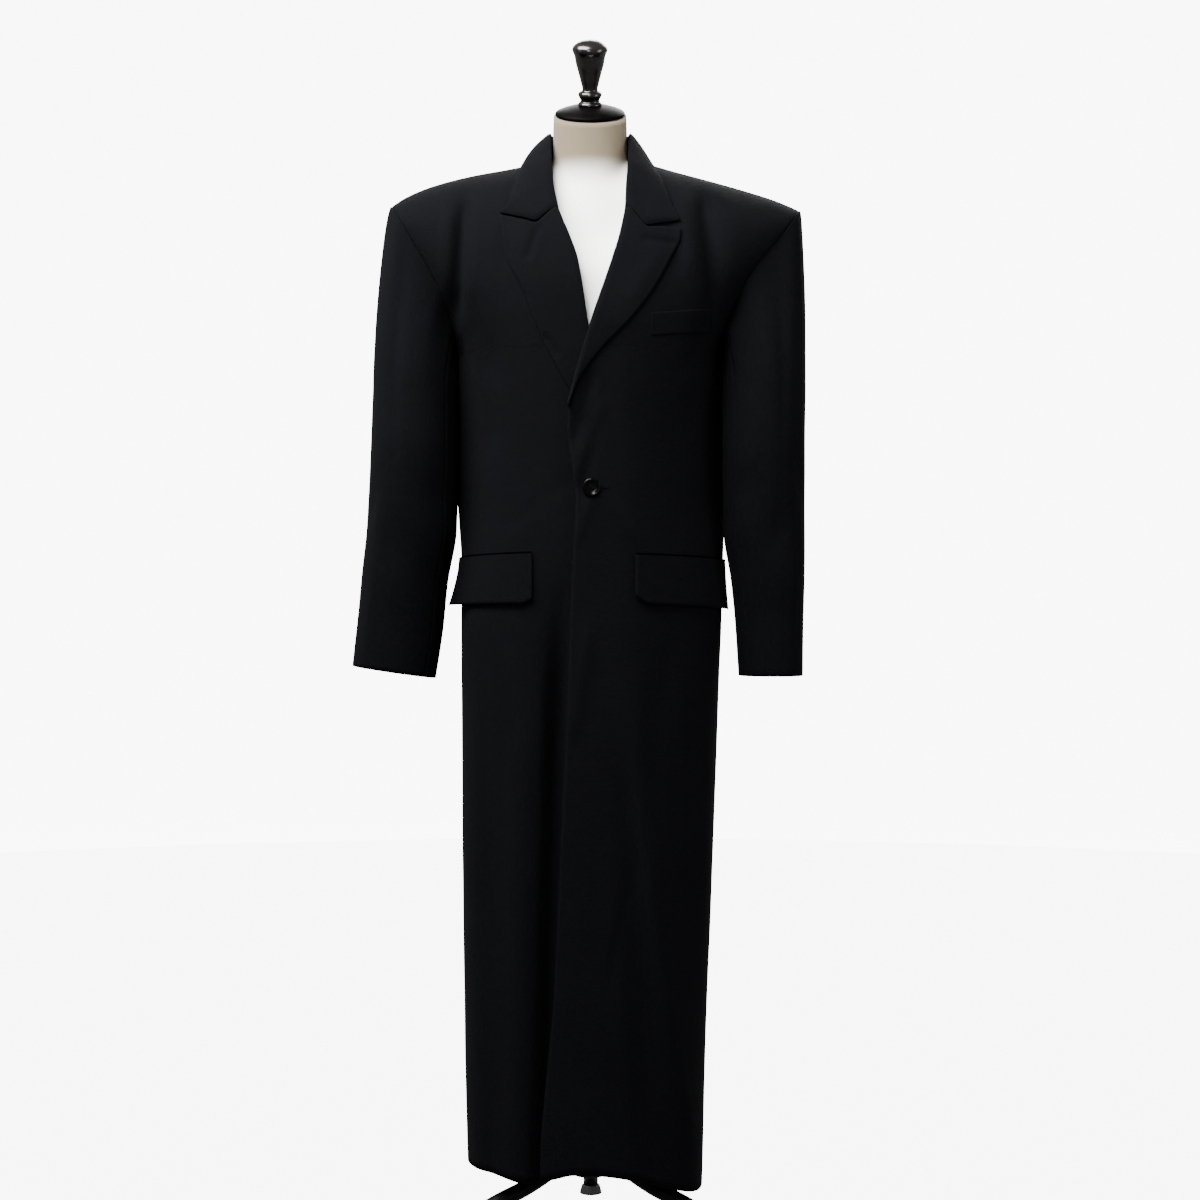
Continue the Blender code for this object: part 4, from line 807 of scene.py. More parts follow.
def surface_normal(face, side, reach, z):
    """Outward direction of the unfolded surface, which panels that meet share."""
    away = AWAY[face]
    step = SLOPE_STEP
    depth = plain_depth(face, side, reach, z)
    if shoulder_z(side, reach) - z < CREST:
        fall = (shoulder_z(side, reach + step) - shoulder_z(side, reach - step)) / (2.0 * step)
        return Vector((-fall * SIDES[side], 0.0, 1.0)).normalized()

    def level(at_reach, at_depth, at_z):
        full = max(1e-6, smooth(BODY, face, at_z) * depth_share(face, side, at_reach, at_z))
        across = abs(at_reach) / half_width(side, at_z)
        return across ** ROUNDNESS + (abs(at_depth) / full) ** ROUNDNESS

    out = (level(reach + step, depth, z) - level(reach - step, depth, z)) / (2.0 * step)
    forward = (level(reach, depth + step, z) - level(reach, max(0.0, depth - step), z))
    forward /= step + min(step, depth)
    up = (level(reach, depth, z + step) - level(reach, depth, z - step)) / (2.0 * step)
    if depth < step:
        forward = 0.0
    across = seam_back(side, reach + step, z) - seam_back(side, reach - step, z)
    along = seam_back(side, reach, z + step) - seam_back(side, reach, z - step)
    out -= away * forward * across / (2.0 * step)
    up -= away * forward * along / (2.0 * step)
    return Vector((SIDES[side] * out, away * forward, up)).normalized()


def on_coat(facets, face, side, reach, z, lift):
    """Point moved out from a panel's facets, or from the smooth surface beyond the panel's edge."""
    normal = surface_normal(face, side, reach, z)
    base = surface(face, side, reach, z)
    hit = facets[side + "_" + face].ray_cast(base + normal * RAY_START, -normal, 2.0 * RAY_START)[0]
    return (hit or base) + normal * lift


def facet_tree(grid):
    """Search tree of the facets of a panel's outer face."""
    columns = len(grid[0])
    points = [point for row in grid for point in row]
    quads = []
    for r in range(len(grid) - 1):
        for c in range(columns - 1):
            first = r * columns + c
            quads.append((first, first + 1, first + columns + 1, first + columns))
    return BVHTree.FromPolygons(points, quads)


def running(line):
    """Length along a line of points, at each point."""
    lengths = [0.0]
    for before, after in zip(line, line[1:]):
        lengths.append(lengths[-1] + (after - before).length)
    return lengths


def even_shares(path, first, last, count):
    """Shares between first and last that space count + 1 points of a path evenly."""
    shares = []
    for i in range(FINE_STEPS + 1):
        shares.append(mix(first, last, 1.0 - (1.0 - i / FINE_STEPS) ** SIDE_CROWDING))
    lengths = running([surface(*path(share)) for share in shares])
    wanted = []
    for step in range(count + 1):
        target = lengths[-1] * step / count
        place = max(i for i in range(FINE_STEPS) if lengths[i] <= target + 1e-9)
        span = max(1e-9, lengths[place + 1] - lengths[place])
        wanted.append(mix(shares[place], shares[place + 1], clamp((target - lengths[place]) / span)))
    wanted[0] = first
    wanted[-1] = last
    return wanted


def armhole_place(side, turn):
    """Reach and height of the armhole; turn runs from the shoulder tip round by the front."""
    rise = (1.0 + math.cos(turn)) / 2.0
    reach = smooth(ARMHOLE, side, rise)
    return reach, mix(ARMPIT_Z, shoulder_z(side, TIP[side]), rise)


def top_edge_z(face, side, reach):
    """Height of a panel's top edge: the shoulder seam, and the neckline of the back."""
    if face == "back" and reach < NECK_POINT:
        return smooth(NECKLINE, "z", reach)
    return shoulder_z(side, reach)


def panel_path(face, side, row):
    """Function that gives the surface place at each share of one row, from inner edge to side."""
    start = NECK_POINT if face == "front" else 0.0

    def inner_reach(z):
        return smooth(FRONT_EDGE, side, z) if face == "front" else 0.0

    def upper(share):
        rise = (1.0 + math.cos(math.pi * row / UPPER_ROWS)) / 2.0
        outer, outer_z = armhole_place(side, math.pi * row / UPPER_ROWS)
        top = top_edge_z(face, side, mix(start, TIP[side], share))
        inner = inner_reach(mix(ARMPIT_Z, top_edge_z(face, side, start), rise))
        z = outer_z if share >= 1.0 else mix(ARMPIT_Z, top, rise)
        return face, side, mix(inner, outer, share), z

    def lower(share):
        down = row - UPPER_ROWS
        z = mix(ARMPIT_Z, smooth(HEM, side + "_" + face, share), down)
        inner = inner_reach(mix(ARMPIT_Z, smooth(HEM, side + "_" + face, 0.0), down))
        return face, side, mix(inner, half_width(side, z), share), z

    return upper if row <= UPPER_ROWS else lower


def panel_rows():
    """Rows of a panel: round the armhole, then on down to the hem (one more is the hem)."""
    upper = [i * PANEL_ROW_STEP for i in range(round(LAST_CLOSE_ROW / PANEL_ROW_STEP) + 1)]
    upper.append(UPPER_ROWS)
    lower = [UPPER_ROWS + ((i + 1) / LOWER_STEPS) ** LOWER_POWER for i in range(LOWER_STEPS)]
    return upper + lower


def panel_shares(face, side, path):
    """Shares across one row of a panel; a back has a column at the neck point."""
    if face == "front":
        return even_shares(path, 0.0, 1.0, FRONT_COLUMNS)
    corner = NECK_POINT / TIP[side]
    inner = even_shares(path, 0.0, corner, BACK_COLUMNS[0])
    return inner + even_shares(path, corner, 1.0, BACK_COLUMNS[1])[1:]


def from_seams(face, side, reach, z, point, path):
    """Distance of a point from the side seam or armhole, the top edge and the centre back seam."""
    near = min((point - surface(*path(1.0))).length, abs(top_edge_z(face, side, reach) - z))
    if face == "back":
        near = min(near, (point - surface(*path(0.0))).length)
    return near


def held_apart(point, face, side):
    """Keep a point on its own side of the side seam and the centre back seam."""
    point.y = AWAY[face] * max(AWAY[face] * point.y, SEAM_GAP / 2.0)
    if face == "back":
        point.x = SIDES[side] * max(SIDES[side] * point.x, SEAM_GAP / 2.0)
    return point


def panel_grids(face, side):
    """Outer and inner grids of a front or back panel."""
    seed = WAVE_SEEDS[side + "_" + face]
    outer_grid = []
    inner_grid = []
    for row in panel_rows():
        path = panel_path(face, side, row)
        outer_row = []
        inner_row = []
        for share in panel_shares(face, side, path):
            place = path(share)
            point = surface(*place)
            normal = surface_normal(*place)
            near = from_seams(*place, point, path)
            dip = SEAM_DIP * math.exp(-(near / SEAM_DIP_WIDTH) ** 2)
            point = point + normal * (waves(point, seed) * clamp(near / WAVE_FADE) - dip)
            inner = point - normal * WALL
            outer_row.append(held_apart(point, face, side))
            inner_row.append(held_apart(inner, face, side))
        outer_grid.append(outer_row)
        inner_grid.append(inner_row)
    return outer_grid, inner_grid


def armhole_point(side, turn):
    """Outer point of the body at the armhole and the outward direction there."""
    turn = turn % (2.0 * math.pi)
    face = "front" if turn <= math.pi else "back"
    reach, z = armhole_place(side, turn)
    if abs(turn - math.pi) < 1e-6:
        reach = half_width(side, ARMPIT_Z)
    return surface(face, side, reach, z), surface_normal(face, side, reach, z)


def rounded(turn, roundness):
    """Place on a rounded square of half width 1: its reach to the side and forward."""
    power = 2.0 / roundness
    out = math.copysign(abs(math.cos(turn)) ** power, math.cos(turn))
    forward = math.copysign(abs(math.sin(turn)) ** power, math.sin(turn))
    return out, forward


def sleeve_ring_point(side, z, turn):
    """Point of a sleeve ring; turn 0 is the outer side and a quarter turn is the front."""
    rows = SLEEVES[side]
    inner = smooth(rows, "inner", z)
    outer = smooth(rows, "outer", z)
    out, forward = rounded(turn, SLEEVE_ROUNDNESS)
    reach = (inner + outer) / 2.0 + out * (outer - inner) / 2.0
    y = smooth(rows, "centre_y", z) - forward * smooth(rows, "half_depth", z)
    return Vector((SIDES[side] * reach, y, z + smooth(rows, "slope", z) * out / 2.0))


def sleeve_point(side, turn, down):
    """Point of a sleeve; down runs 0 to 1 over the sleeve head and 1 to 2 to the cuff."""
    head_z = SLEEVES[side][-1].z
    if down >= 1.0:
        return sleeve_ring_point(side, mix(head_z, SLEEVES[side][0].z, down - 1.0), turn)
    start, leave = armhole_leave(side, turn)
    end = sleeve_ring_point(side, head_z, turn)
    push = mix(UNDERARM_PUSH, HEAD_PUSH, (1.0 + math.cos(turn)) / 2.0)
    arrive = Vector((0.0, 0.0, -(end - start).length))
    return hermite(start, end, leave * push, arrive, down)


def armhole_leave(side, turn):
    """Where a sleeve starts at the armhole, and the way it leaves."""
    key = (side, round(turn, 6))
    if key not in LEAVES:
        start, normal = armhole_point(side, turn)
        ahead = armhole_point(side, turn + ARMHOLE_STEP)[0]
        behind = armhole_point(side, turn - ARMHOLE_STEP)[0]
        leave = (ahead - behind).normalized().cross(normal) * -SIDES[side]
        lean = UNDERARM_LEAN * (1.0 - math.cos(turn)) / 2.0
        leave = (leave * math.cos(lean) + normal * math.sin(lean)).normalized()
        start = start + leave * SEAM_GAP * (3.0 - math.cos(turn)) / 2.0
        LEAVES[key] = (start, leave)
    return LEAVES[key]


def sleeve_normal(side, turn, down):
    """Outward direction of a sleeve's surface."""
    if down <= 0.0:
        return armhole_point(side, turn)[1]
    tiny = TINY_STEP
    across = sleeve_point(side, turn + tiny, down) - sleeve_point(side, turn - tiny, down)
    along = sleeve_point(side, turn, down + tiny) - sleeve_point(side, turn, down - tiny)
    return (across.cross(along) * SIDES[side]).normalized()


def sleeve_relief(side, turn, down, point, from_seam):
    """Height of a sleeve's seam dips, waves and dents at a place."""
    free = clamp(down / HEAD_CALM)
    height = -SLEEVE_SEAM_DIP * math.exp(-(from_seam / SEAM_DIP_WIDTH) ** 2)
    seed = WAVE_SEEDS[side + "_sleeve"]
    height += waves(point, seed) * clamp(from_seam / SLEEVE_WAVE_FADE) * free
    for dent in DENTS[side]:
        across = (turn - dent.turn - dent.drift * (down - dent.down)) / dent.wide
        along = (down - dent.down) / dent.tall
        height += dent.height * math.exp(-across * across - along * along) * free
    return height


def sleeve_grids(side, first, last):
    """Outer and inner grids of one piece of a two-piece sleeve, between two armhole rows."""
    downs = [(i / HEAD_STEPS) ** HEAD_POWER for i in range(HEAD_STEPS + 1)]
    downs += [1.0 + (i + 1) / SLEEVE_STEPS for i in range(SLEEVE_STEPS)]
    count = round((last - first) / SLEEVE_COLUMN_STEP)
    outer_grid = []
    inner_grid = []
    for down in downs:
        outer_row = []
        inner_row = []
        for step in range(count + 1):
            turn = math.pi * (first + step * SLEEVE_COLUMN_STEP) / UPPER_ROWS
            from_seam = min(step, count - step) * SLEEVE_COLUMN_WIDTH
            point = sleeve_point(side, turn, down)
            normal = sleeve_normal(side, turn, down)
            point = point + normal * sleeve_relief(side, turn, down, point, from_seam)
            outer_row.append(point)
            inner_row.append(point - normal * WALL)
        outer_grid.append(outer_row)
        inner_grid.append(inner_row)
    return outer_grid, inner_grid


def grid_normals(grid, flip):
    """Outward direction at each point of a grid of rows, from its neighbours."""
    normals = []
    for r, row in enumerate(grid):
        line = []
        for c in range(len(row)):
            across = row[min(c + 1, len(row) - 1)] - row[max(c - 1, 0)]
            down = grid[min(r + 1, len(grid) - 1)][c] - grid[max(r - 1, 0)][c]
            line.append((across.cross(down) * flip).normalized())
        normals.append(line)
    return normals


def press(z):
    """Share of its full lift that the right lapel keeps where the left front lies over it."""
    return mix(PRESSED_LIFT_SHARE, 1.0, ease((z - PRESSED_Z) / (FREE_Z - PRESSED_Z)))


def leaf_drop(share, inner_share, drop):
    """Dip of a collar leaf's or lapel's end below the straight line, deepest at the notch."""
    if share < inner_share:
        return drop * share / inner_share
    return drop * (1.0 - share) / (1.0 - inner_share)


def lapel_grid(facets, side):
    """Outer face of a lapel, from its rolled edge to its free edge."""
    notch = NOTCH[side]
    top_z = notch.roll_z - GORGE_SHOWN
    grid = []
    for row in range(LAPEL_ROWS + 1):
        down = row / LAPEL_ROWS
        roll_z = mix(top_z, BREAK_Z[side], down)
        roll_reach = smooth(FRONT_EDGE, side, roll_z)
        edge_reach = smooth(LAPEL_EDGE, side + "_reach", down)
        edge_z = smooth(LAPEL_EDGE, side + "_z", down)
        lift_share = press(roll_z) if side == "right" else 1.0
        width = max(LEAST_WIDTH, edge_reach - roll_reach)
        narrow = clamp(width / FULL_ROLL_WIDTH)
        points = []
        for roll in ROLL:
            reach = roll_reach + roll.reach * (narrow if roll.reach > 0.0 else 1.0)
            lift = roll.lift * (lift_share if roll.lift > 0.0 else 1.0)
            points.append(on_coat(facets, "front", side, reach, roll_z, lift))
        for share in LAPEL_SHARES:
            dip = leaf_drop(share, notch.inner_share, notch.lapel_drop) * (1.0 - down) ** DIP_FADE
            reach = mix(roll_reach + ROLL[-1].reach * narrow, edge_reach, share)
            z = mix(roll_z, edge_z, share) - dip
            lift = mix(LEAF_LIFT, LEAF_EDGE_LIFT, share) * lift_share
            points.append(on_coat(facets, "front", side, reach, z, lift))
        grid.append(points)
    return grid


def collar_stations():
    """Rows of the collar table at even steps, from the right leaf round the back to the left."""
    count = round(COLLAR[-1].station / STATION_STEP)
    half = []
    for step in range(count + 1):
        at = step * STATION_STEP
        values = {column: smooth(COLLAR, column, at) for column in COLLAR[0]._fields[1:]}
        half.append(COLLAR[0]._replace(station=at, **values))
    return [("right", row) for row in reversed(half)] + [("left", row) for row in half[1:]]


def station_face(station):
    """Panel face under a station: the back up to the shoulder seam, then the front."""
    return "back" if station.station <= SHOULDER_STATION else "front"


def level_away(point):
    """Level direction from the form's axis to a point."""
    return Vector((point.x, point.y, 0.0)).normalized()


def fold_point(side, station):
    """Top of the collar at a station."""
    return Vector((SIDES[side] * station.fold_reach, station.fold_y, station.fold_z))


def stand_foot(side, station):
    """Neck-side foot of the collar stand, just inside the neck seam."""
    if station_face(station) == "front":
        reach = smooth(FRONT_EDGE, side, station.seam_z) - STAND_INSET
        return surface("front", side, reach, station.seam_z)
    seam = surface("back", side, station.seam_reach, station.seam_z)
    return seam - level_away(seam) * STAND_INSET + Vector((0.0, 0.0, SEAM_GAP))


def collar_section(facets, side, station):
    """Outer face of the collar fall at one station, from the fold to the outer edge."""
    fold = fold_point(side, station)
    away = level_away(fold)
    up = Vector((0.0, 0.0, 1.0))
    inward, rise = COLLAR_DRAWN_IN[side]
    drawn = math.sin(math.pi * station.station / COLLAR[-1].station)
    edge = on_coat(facets, station_face(station), side, station.edge_reach - inward * drawn,
                   station.edge_z + rise * drawn, LEAF_EDGE_LIFT)
    line = edge - fold
    out = (up - line * (up.dot(line) / line.length_squared)).normalized()
    foot = fold - away * NECK_FACE_SHIFT - up * ROLL_DEPTH
    if station.station > FALL_FOOT_START:
        foot = stand_foot(side, station)
    points = [foot,
              fold - away * NECK_FACE_SHIFT + up * CROWN_FOOT,
              fold + away * CROWN[0] + up * CROWN[1]]
    start = fold + away * FALL_START[0] + up * FALL_START[1]
    for share in COLLAR_SHARES:
        bulge = out * (COLLAR_BULGE[side] * math.sin(math.pi * share))
        points.append(start.lerp(edge, share) + bulge)
    return points


def gorge_section(facets, side):
    """Outer face of the collar leaf's end, along the gorge and the notch."""
    notch = NOTCH[side]
    roll_z = notch.roll_z + GORGE_SHOWN
    roll_reach = smooth(FRONT_EDGE, side, roll_z)
    points = []
    for roll in ROLL[:3]:
        points.append(on_coat(facets, "front", side, roll_reach + roll.reach, roll_z, roll.lift))
    for share in COLLAR_SHARES:
        dip = leaf_drop(share, notch.inner_share, notch.collar_drop)
        reach = mix(roll_reach + ROLL[-1].reach, notch.corner_reach, share)
        z = mix(roll_z, notch.corner_z, share) - dip
        lift = mix(LEAF_LIFT, LEAF_EDGE_LIFT, share)
        points.append(on_coat(facets, "front", side, reach, z, lift))
    return points


def collar_fall_grid(facets):
    """Outer face of the collar's fall, all round."""
    grid = [gorge_section(facets, "right")]
    for side, station in collar_stations():
        grid.append(collar_section(facets, side, station))
    grid.append(gorge_section(facets, "left"))
    return grid


def collar_stand_grid():
    """Neck-side face of the collar stand, from the fold down to the neck seam."""
    grid = []
    for side, station in collar_stations():
        if station.station > STAND_END:
            continue
        fold = fold_point(side, station)
        down = Vector((0.0, 0.0, -ROLL_DEPTH - STAND_TOP_GAP))
        top = fold - level_away(fold) * NECK_FACE_SHIFT + down
        foot = stand_foot(side, station)
        grid.append([top.lerp(foot, share) for share in STAND_SHARES])
    return grid


def grid_of(point_at, rows, columns):
    """Grid of the points that a function gives at shares down and across."""
    return [[point_at(row / rows, column / columns) for column in range(columns + 1)]
            for row in range(rows + 1)]


def flap_grid(facets, side):
    """Outer face of a pocket flap on the front, wrapped towards the side seam."""
    flap = FLAPS[side]
    corner_share, corner_height = FLAP_CORNER[side]
    start_turn = math.acos((flap.inner_reach / half_width(side, flap.top_inner_z))
                           ** (ROUNDNESS / 2.0))

    def point_at(down, share):
        turn = mix(start_turn, FLAP_OUTER_TURN, share)
        top = mix(flap.top_inner_z, flap.top_outer_z, share)
        foot = mix(flap.foot_inner_z, flap.foot_outer_z, share)
        foot += corner_height * clamp(1.0 - share / corner_share) ** 2
        z = mix(top, foot, down)
        reach = half_width(side, z) * math.cos(turn) ** (2.0 / ROUNDNESS)
        flared = ease((share - FLAP_FLARE_START) / (1.0 - FLAP_FLARE_START))
        flare = FLAP_FLARE[side] * flared * down ** FLAP_FLARE_POWER
        lift = mix(FLAP_TOP_LIFT, FLAP_FOOT_LIFT, down) + flare
        return on_coat(facets, "front", side, reach, z, lift)

    return grid_of(point_at, FLAP_ROWS, FLAP_COLUMNS)


def welt_grid(facets):
    """Outer face of the chest welt."""
    def point_at(down, share):
        z = mix(*WELT_FOOT_Z, share) + WELT_HEIGHT * (1.0 - down)
        return on_coat(facets, "front", "left", mix(*WELT_REACH, share), z, WELT_SHOWN_LIFT)

    return grid_of(point_at, WELT_ROWS, WELT_COLUMNS)


def form_grid():
    """Rings of the dress form from neck to hip; z follows the tilt of each ring."""
    rings = []
    for row in FORM:
        ring = []
        for column in range(FORM_COLUMNS):
            turn = 2.0 * math.pi * column / FORM_COLUMNS
            out, forward = rounded(turn, FORM_ROUNDNESS)
            end_y = row.front_y if forward > 0.0 else row.back_y
            end_z = row.front_z if forward > 0.0 else row.back_z
            lean = abs(forward) if row.reach < NECK_REACH else math.sin(turn) ** 2
            z = mix(row.side_z, end_z, lean)
            ring.append(Vector((row.reach * out, end_y * abs(forward), z)))
        rings.append(ring)
    return rings


def bend(before, start, end, after, share):
    """Point between start and end on a smooth curve through four points."""
    return hermite(start, end, (end - before) * 0.5, (after - start) * 0.5, share)


def refine_line(line, closed):
    """Line with REFINE times as many steps, on a smooth curve through its points."""
    count = len(line)
    last = count if closed else count - 1
    fine = []
    for i in range(last):
        before = line[i - 1] if closed or i else line[i] * 2.0 - line[i + 1]
        after = line[(i + 2) % count] if closed or i + 2 < count else line[i + 1] * 2.0 - line[i]
        for step in range(REFINE):
            fine.append(bend(before, line[i], line[(i + 1) % count], after, step / REFINE))
    if not closed:
        fine.append(line[-1])
    return fine


def refine_grid(grid, closed=False):
    """Grid with REFINE times as many rows and columns."""
    rows = [refine_line(row, closed) for row in grid]
    columns = [refine_line(list(column), False) for column in zip(*rows)]
    return [list(row) for row in zip(*columns)]


def thicken(grid, wall, flip):
    """Inner grid at an even distance behind an outer grid."""
    normals = grid_normals(grid, flip)
    return [[point - normal * wall for point, normal in zip(row, line)]
            for row, line in zip(grid, normals)]


def set_inputs(node, inputs):
    """Set a node's inputs: what is itself an output of a node is linked, the rest is a value."""
    for name, value in inputs.items():
        if isinstance(value, bpy.types.NodeSocket):
            node.id_data.links.new(value, node.inputs[name])
        else:
            node.inputs[name].default_value = value


def fresh_material(name):
    """New material, its shader, and a function that adds a node with its settings and inputs."""
    made = bpy.data.materials.new(name)
    made.use_nodes = True
    tree = made.node_tree

    def add(kind, inputs, **settings):
        node = tree.nodes.new(kind)
        for setting, value in settings.items():
            setattr(node, setting, value)
        set_inputs(node, inputs)
        return node

    return made, tree.nodes["Principled BSDF"], add


def maths(add, operation, *terms):
    """Result of an operation on outputs and numbers."""
    return add("ShaderNodeMath", dict(enumerate(terms)), operation=operation).outputs[0]


def ramp(add, value, stops, colours):
    """Colour that runs from one to the other as a value passes two stops."""
    made = add("ShaderNodeValToRGB", {"Fac": value})
    for element, stop, colour in zip(made.color_ramp.elements, stops, colours):
        element.position = stop
        element.color = (*colour, 1.0)
    return made.outputs["Color"]


def painted_shade_on(add, colour, place, fade):
    """Colour multiplied by the fade's own more and more towards its top: painted shade."""
    height = add("ShaderNodeSeparateXYZ", {"Vector": place}).outputs["Z"]
    rise = add("ShaderNodeMapRange",
               {"Value": height, "From Min": fade.foot_z, "From Max": fade.top_z},
               interpolation_type="SMOOTHSTEP").outputs["Result"]
    return add("ShaderNodeMix", {"Factor": rise, "A": colour, "B": (*fade.colour, 1.0)},
               data_type="RGBA", blend_type="MULTIPLY").outputs["Result"]


def weave(add, pitch):
    """Height of a twill with crossing threads, from the sheet's own UVs."""
    spot = add("ShaderNodeUVMap", {}, uv_map="Cloth").outputs["UV"]
    threads = []
    for turn in THREAD_TURNS:
        turned = add("ShaderNodeMapping", {"Vector": spot, "Rotation": (0.0, 0.0, turn)})
        wave = add("ShaderNodeTexWave",
                   {"Vector": turned.outputs["Vector"], "Scale": WAVE_PERIOD / pitch, **THREAD_WAVE},
                   wave_type="BANDS", bands_direction="X", wave_profile="SIN")
        threads.append(wave.outputs["Fac"])
    twill, warp, weft = threads
    return maths(add, "ADD", maths(add, "MULTIPLY", warp, weft), twill)


def cloth_material(name, dark, light, pitch, bump, sheen, roughness, slub=0.5, fade=None):
    """Woven cloth: threads, loose fibres, and slow changes of shade."""
    made, shader, add = fresh_material(name)
    place = add("ShaderNodeTexCoord", {}).outputs["Object"]
    fibres = add("ShaderNodeTexNoise", {"Vector": place, **FIBRES}).outputs["Fac"]
    height = maths(add, "MULTIPLY_ADD", fibres, slub, weave(add, pitch))
    relief = add("ShaderNodeBump",
                 {"Strength": bump, "Distance": pitch * RELIEF_SHARE, "Height": height})
    patches = add("ShaderNodeTexNoise", {"Vector": place, **PATCHES}).outputs["Fac"]
    shade = maths(add, "MULTIPLY_ADD", patches, PATCH_SHADE,
                  maths(add, "MULTIPLY", height, THREAD_SHADE))
    colour = ramp(add, shade, CLOTH_STOPS, (dark, light))
    # A fade paints shade into the colour, darker towards its top.
    if fade:
        colour = painted_shade_on(add, colour, place, fade)
    set_inputs(shader, {"Base Color": colour, "Roughness": roughness, "Sheen Weight": sheen,
                        "Sheen Roughness": CLOTH_SHEEN_ROUGHNESS,
                        "Specular IOR Level": CLOTH_SPECULAR, "Normal": relief.outputs["Normal"]})
    return made


def hard_material(name, dark, light, roughness, coat, grain, specular, stretch=1.0):
    """Painted, turned or moulded surface with a faint uneven gloss; stretch draws it out in Z."""
    made, shader, add = fresh_material(name)
    place = add("ShaderNodeTexCoord", {}).outputs["Object"]
    drawn = add("ShaderNodeMapping", {"Vector": place, "Scale": (1.0, 1.0, stretch)})
    marks = add("ShaderNodeTexNoise", {"Vector": drawn.outputs["Vector"], "Scale": grain,
                                       "Detail": MARK_DETAIL}).outputs["Fac"]
    gloss = add("ShaderNodeMapRange", {"Value": marks, "To Min": roughness * GLOSS_SHARES[0],
                                       "To Max": roughness * GLOSS_SHARES[1]})
    relief = add("ShaderNodeBump", {"Height": marks, **HARD_RELIEF})
    set_inputs(shader, {"Base Color": ramp(add, marks, HARD_STOPS, (dark, light)),
                        "Roughness": gloss.outputs["Result"], "Coat Weight": coat,
                        "Coat Roughness": COAT_ROUGHNESS, "Specular IOR Level": specular,
                        "Normal": relief.outputs["Normal"]})
    return made


def plain_mesh(name, work):
    """Mesh with what was drawn in a working mesh."""
    mesh = bpy.data.meshes.new(name)
    work.to_mesh(mesh)
    work.free()
    return mesh


def closed_mesh(name, work):
    """Mesh of a closed body, its faces turned outward."""
    bmesh.ops.recalc_face_normals(work, faces=work.faces)
    return plain_mesh(name, work)


def settle(name, mesh, look, slot, *replaced):
    """Finished piece at the form's axis: riding on the root body in place of the named solids."""
    mesh.materials.append(look)
    mesh.shade_smooth()
    made = bpy.data.objects.new(name, mesh)
    made.location = AXIS
    bpy.context.scene.collection.objects.link(made)
    bpy.context.view_layer.update()
    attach(made, "root")
    if replaced:
        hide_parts(*replaced)
    return made


def border_places(rows, columns):
    """Rows and columns of a grid's border, once round."""
    border = [(0, c) for c in range(columns)]
    border += [(r, columns - 1) for r in range(1, rows)]
    border += [(rows - 1, c) for c in range(columns - 2, -1, -1)]
    border += [(r, 0) for r in range(rows - 2, 0, -1)]
    return border


def rim_point(outer, inner, r, c):
    """Middle of a sheet's rim at a place of its border, swelled out a little."""
    inward = Vector((0.0, 0.0, 0.0))
    if r in (0, len(outer) - 1):
        inward += (outer[1 if r == 0 else r - 1][c] - outer[r][c]).normalized()
    if c in (0, len(outer[0]) - 1):
        inward += (outer[r][1 if c == 0 else c - 1] - outer[r][c]).normalized()
    return (outer[r][c] + inner[r][c]) / 2.0 - inward.normalized() * RIM


def sheet_mesh(name, outer, inner):
    """Closed sheet between two grids, with a rounded rim and UVs in metres along the cloth."""
    rows = len(outer)
    columns = len(outer[0])
    across = [running(row) for row in outer]
    middle = columns // 2
    down = running([row[middle] for row in outer])
    work = bmesh.new()
    layer = work.loops.layers.uv.new("Cloth")
    front = [[work.verts.new(point) for point in row] for row in outer]
    back = [[work.verts.new(point) for point in row] for row in inner]
    uvs = {}
    for r in range(rows):
        for c in range(columns):
            spot = (across[r][c] - across[r][middle], down[r])
            uvs[front[r][c]] = spot
            uvs[back[r][c]] = spot
    faces = []
    for r in range(rows - 1):
        for c in range(columns - 1):
            faces.append((front[r][c], front[r][c + 1], front[r + 1][c + 1], front[r + 1][c]))
            faces.append((back[r][c], back[r + 1][c], back[r + 1][c + 1], back[r][c + 1]))
    border = border_places(rows, columns)
    rim = []
    for r, c in border:
        rim.append(work.verts.new(rim_point(outer, inner, r, c)))
        uvs[rim[-1]] = uvs[front[r][c]]
    for i, (r, c) in enumerate(border):
        j = (i + 1) % len(border)
        after_r, after_c = border[j]
        faces.append((front[r][c], rim[i], rim[j], front[after_r][after_c]))
        faces.append((rim[i], back[r][c], back[after_r][after_c], rim[j]))
    for corners in faces:
        for loop in work.faces.new(corners).loops:
            loop[layer].uv = uvs[loop.vert]
    return closed_mesh(name, work)


def add_sheet(name, outer, inner):
    """One sheet of the coat's cloth, in place of the solid of the same name."""
    made = settle("cloth_" + name, sheet_mesh(name, outer, inner), LOOKS["cloth"], "cloth", name)
    return made


def add_flap(name, grid, flip):
    """Pocket flap with a painted shadow line along its top edge, where the pocket's jet lies in
    shade; its rim faces that face up are painted dark too.
    """
    jet_shadow = [top.lerp(below, JET_SHADOW_SHARE) for top, below in zip(grid[0], grid[1])]
    grid = [grid[0], jet_shadow] + grid[1:]
    made = add_sheet(name, grid, thicken(grid, THIN_WALL, flip))
    made.data.materials.append(LOOKS["jet_shadow"])
    band = 2 * (len(jet_shadow) - 1)
    # Painted shadow: the top band and the rim faces that face up get the near-black material, shaded
    # flat.
    for face in made.data.polygons:
        if face.index < band or face.normal.z > JET_SHADOW_TILT:
            face.material_index = 1
            face.use_smooth = False


def pinched(side, grid):
    """Grid of a lapel with its small creases pressed in."""
    for row in grid:
        for point in row:
            for pinch in PINCHES[side]:
                run = Vector((pinch.foot_x - pinch.top_x, pinch.foot_z - pinch.top_z))
                place = Vector((point.x - pinch.top_x, point.z - pinch.top_z))
                along = clamp(place.dot(run) / run.length_squared)
                away = (place - run * along).length / pinch.width
                point.y -= pinch.height * math.exp(-away * away)
    return grid


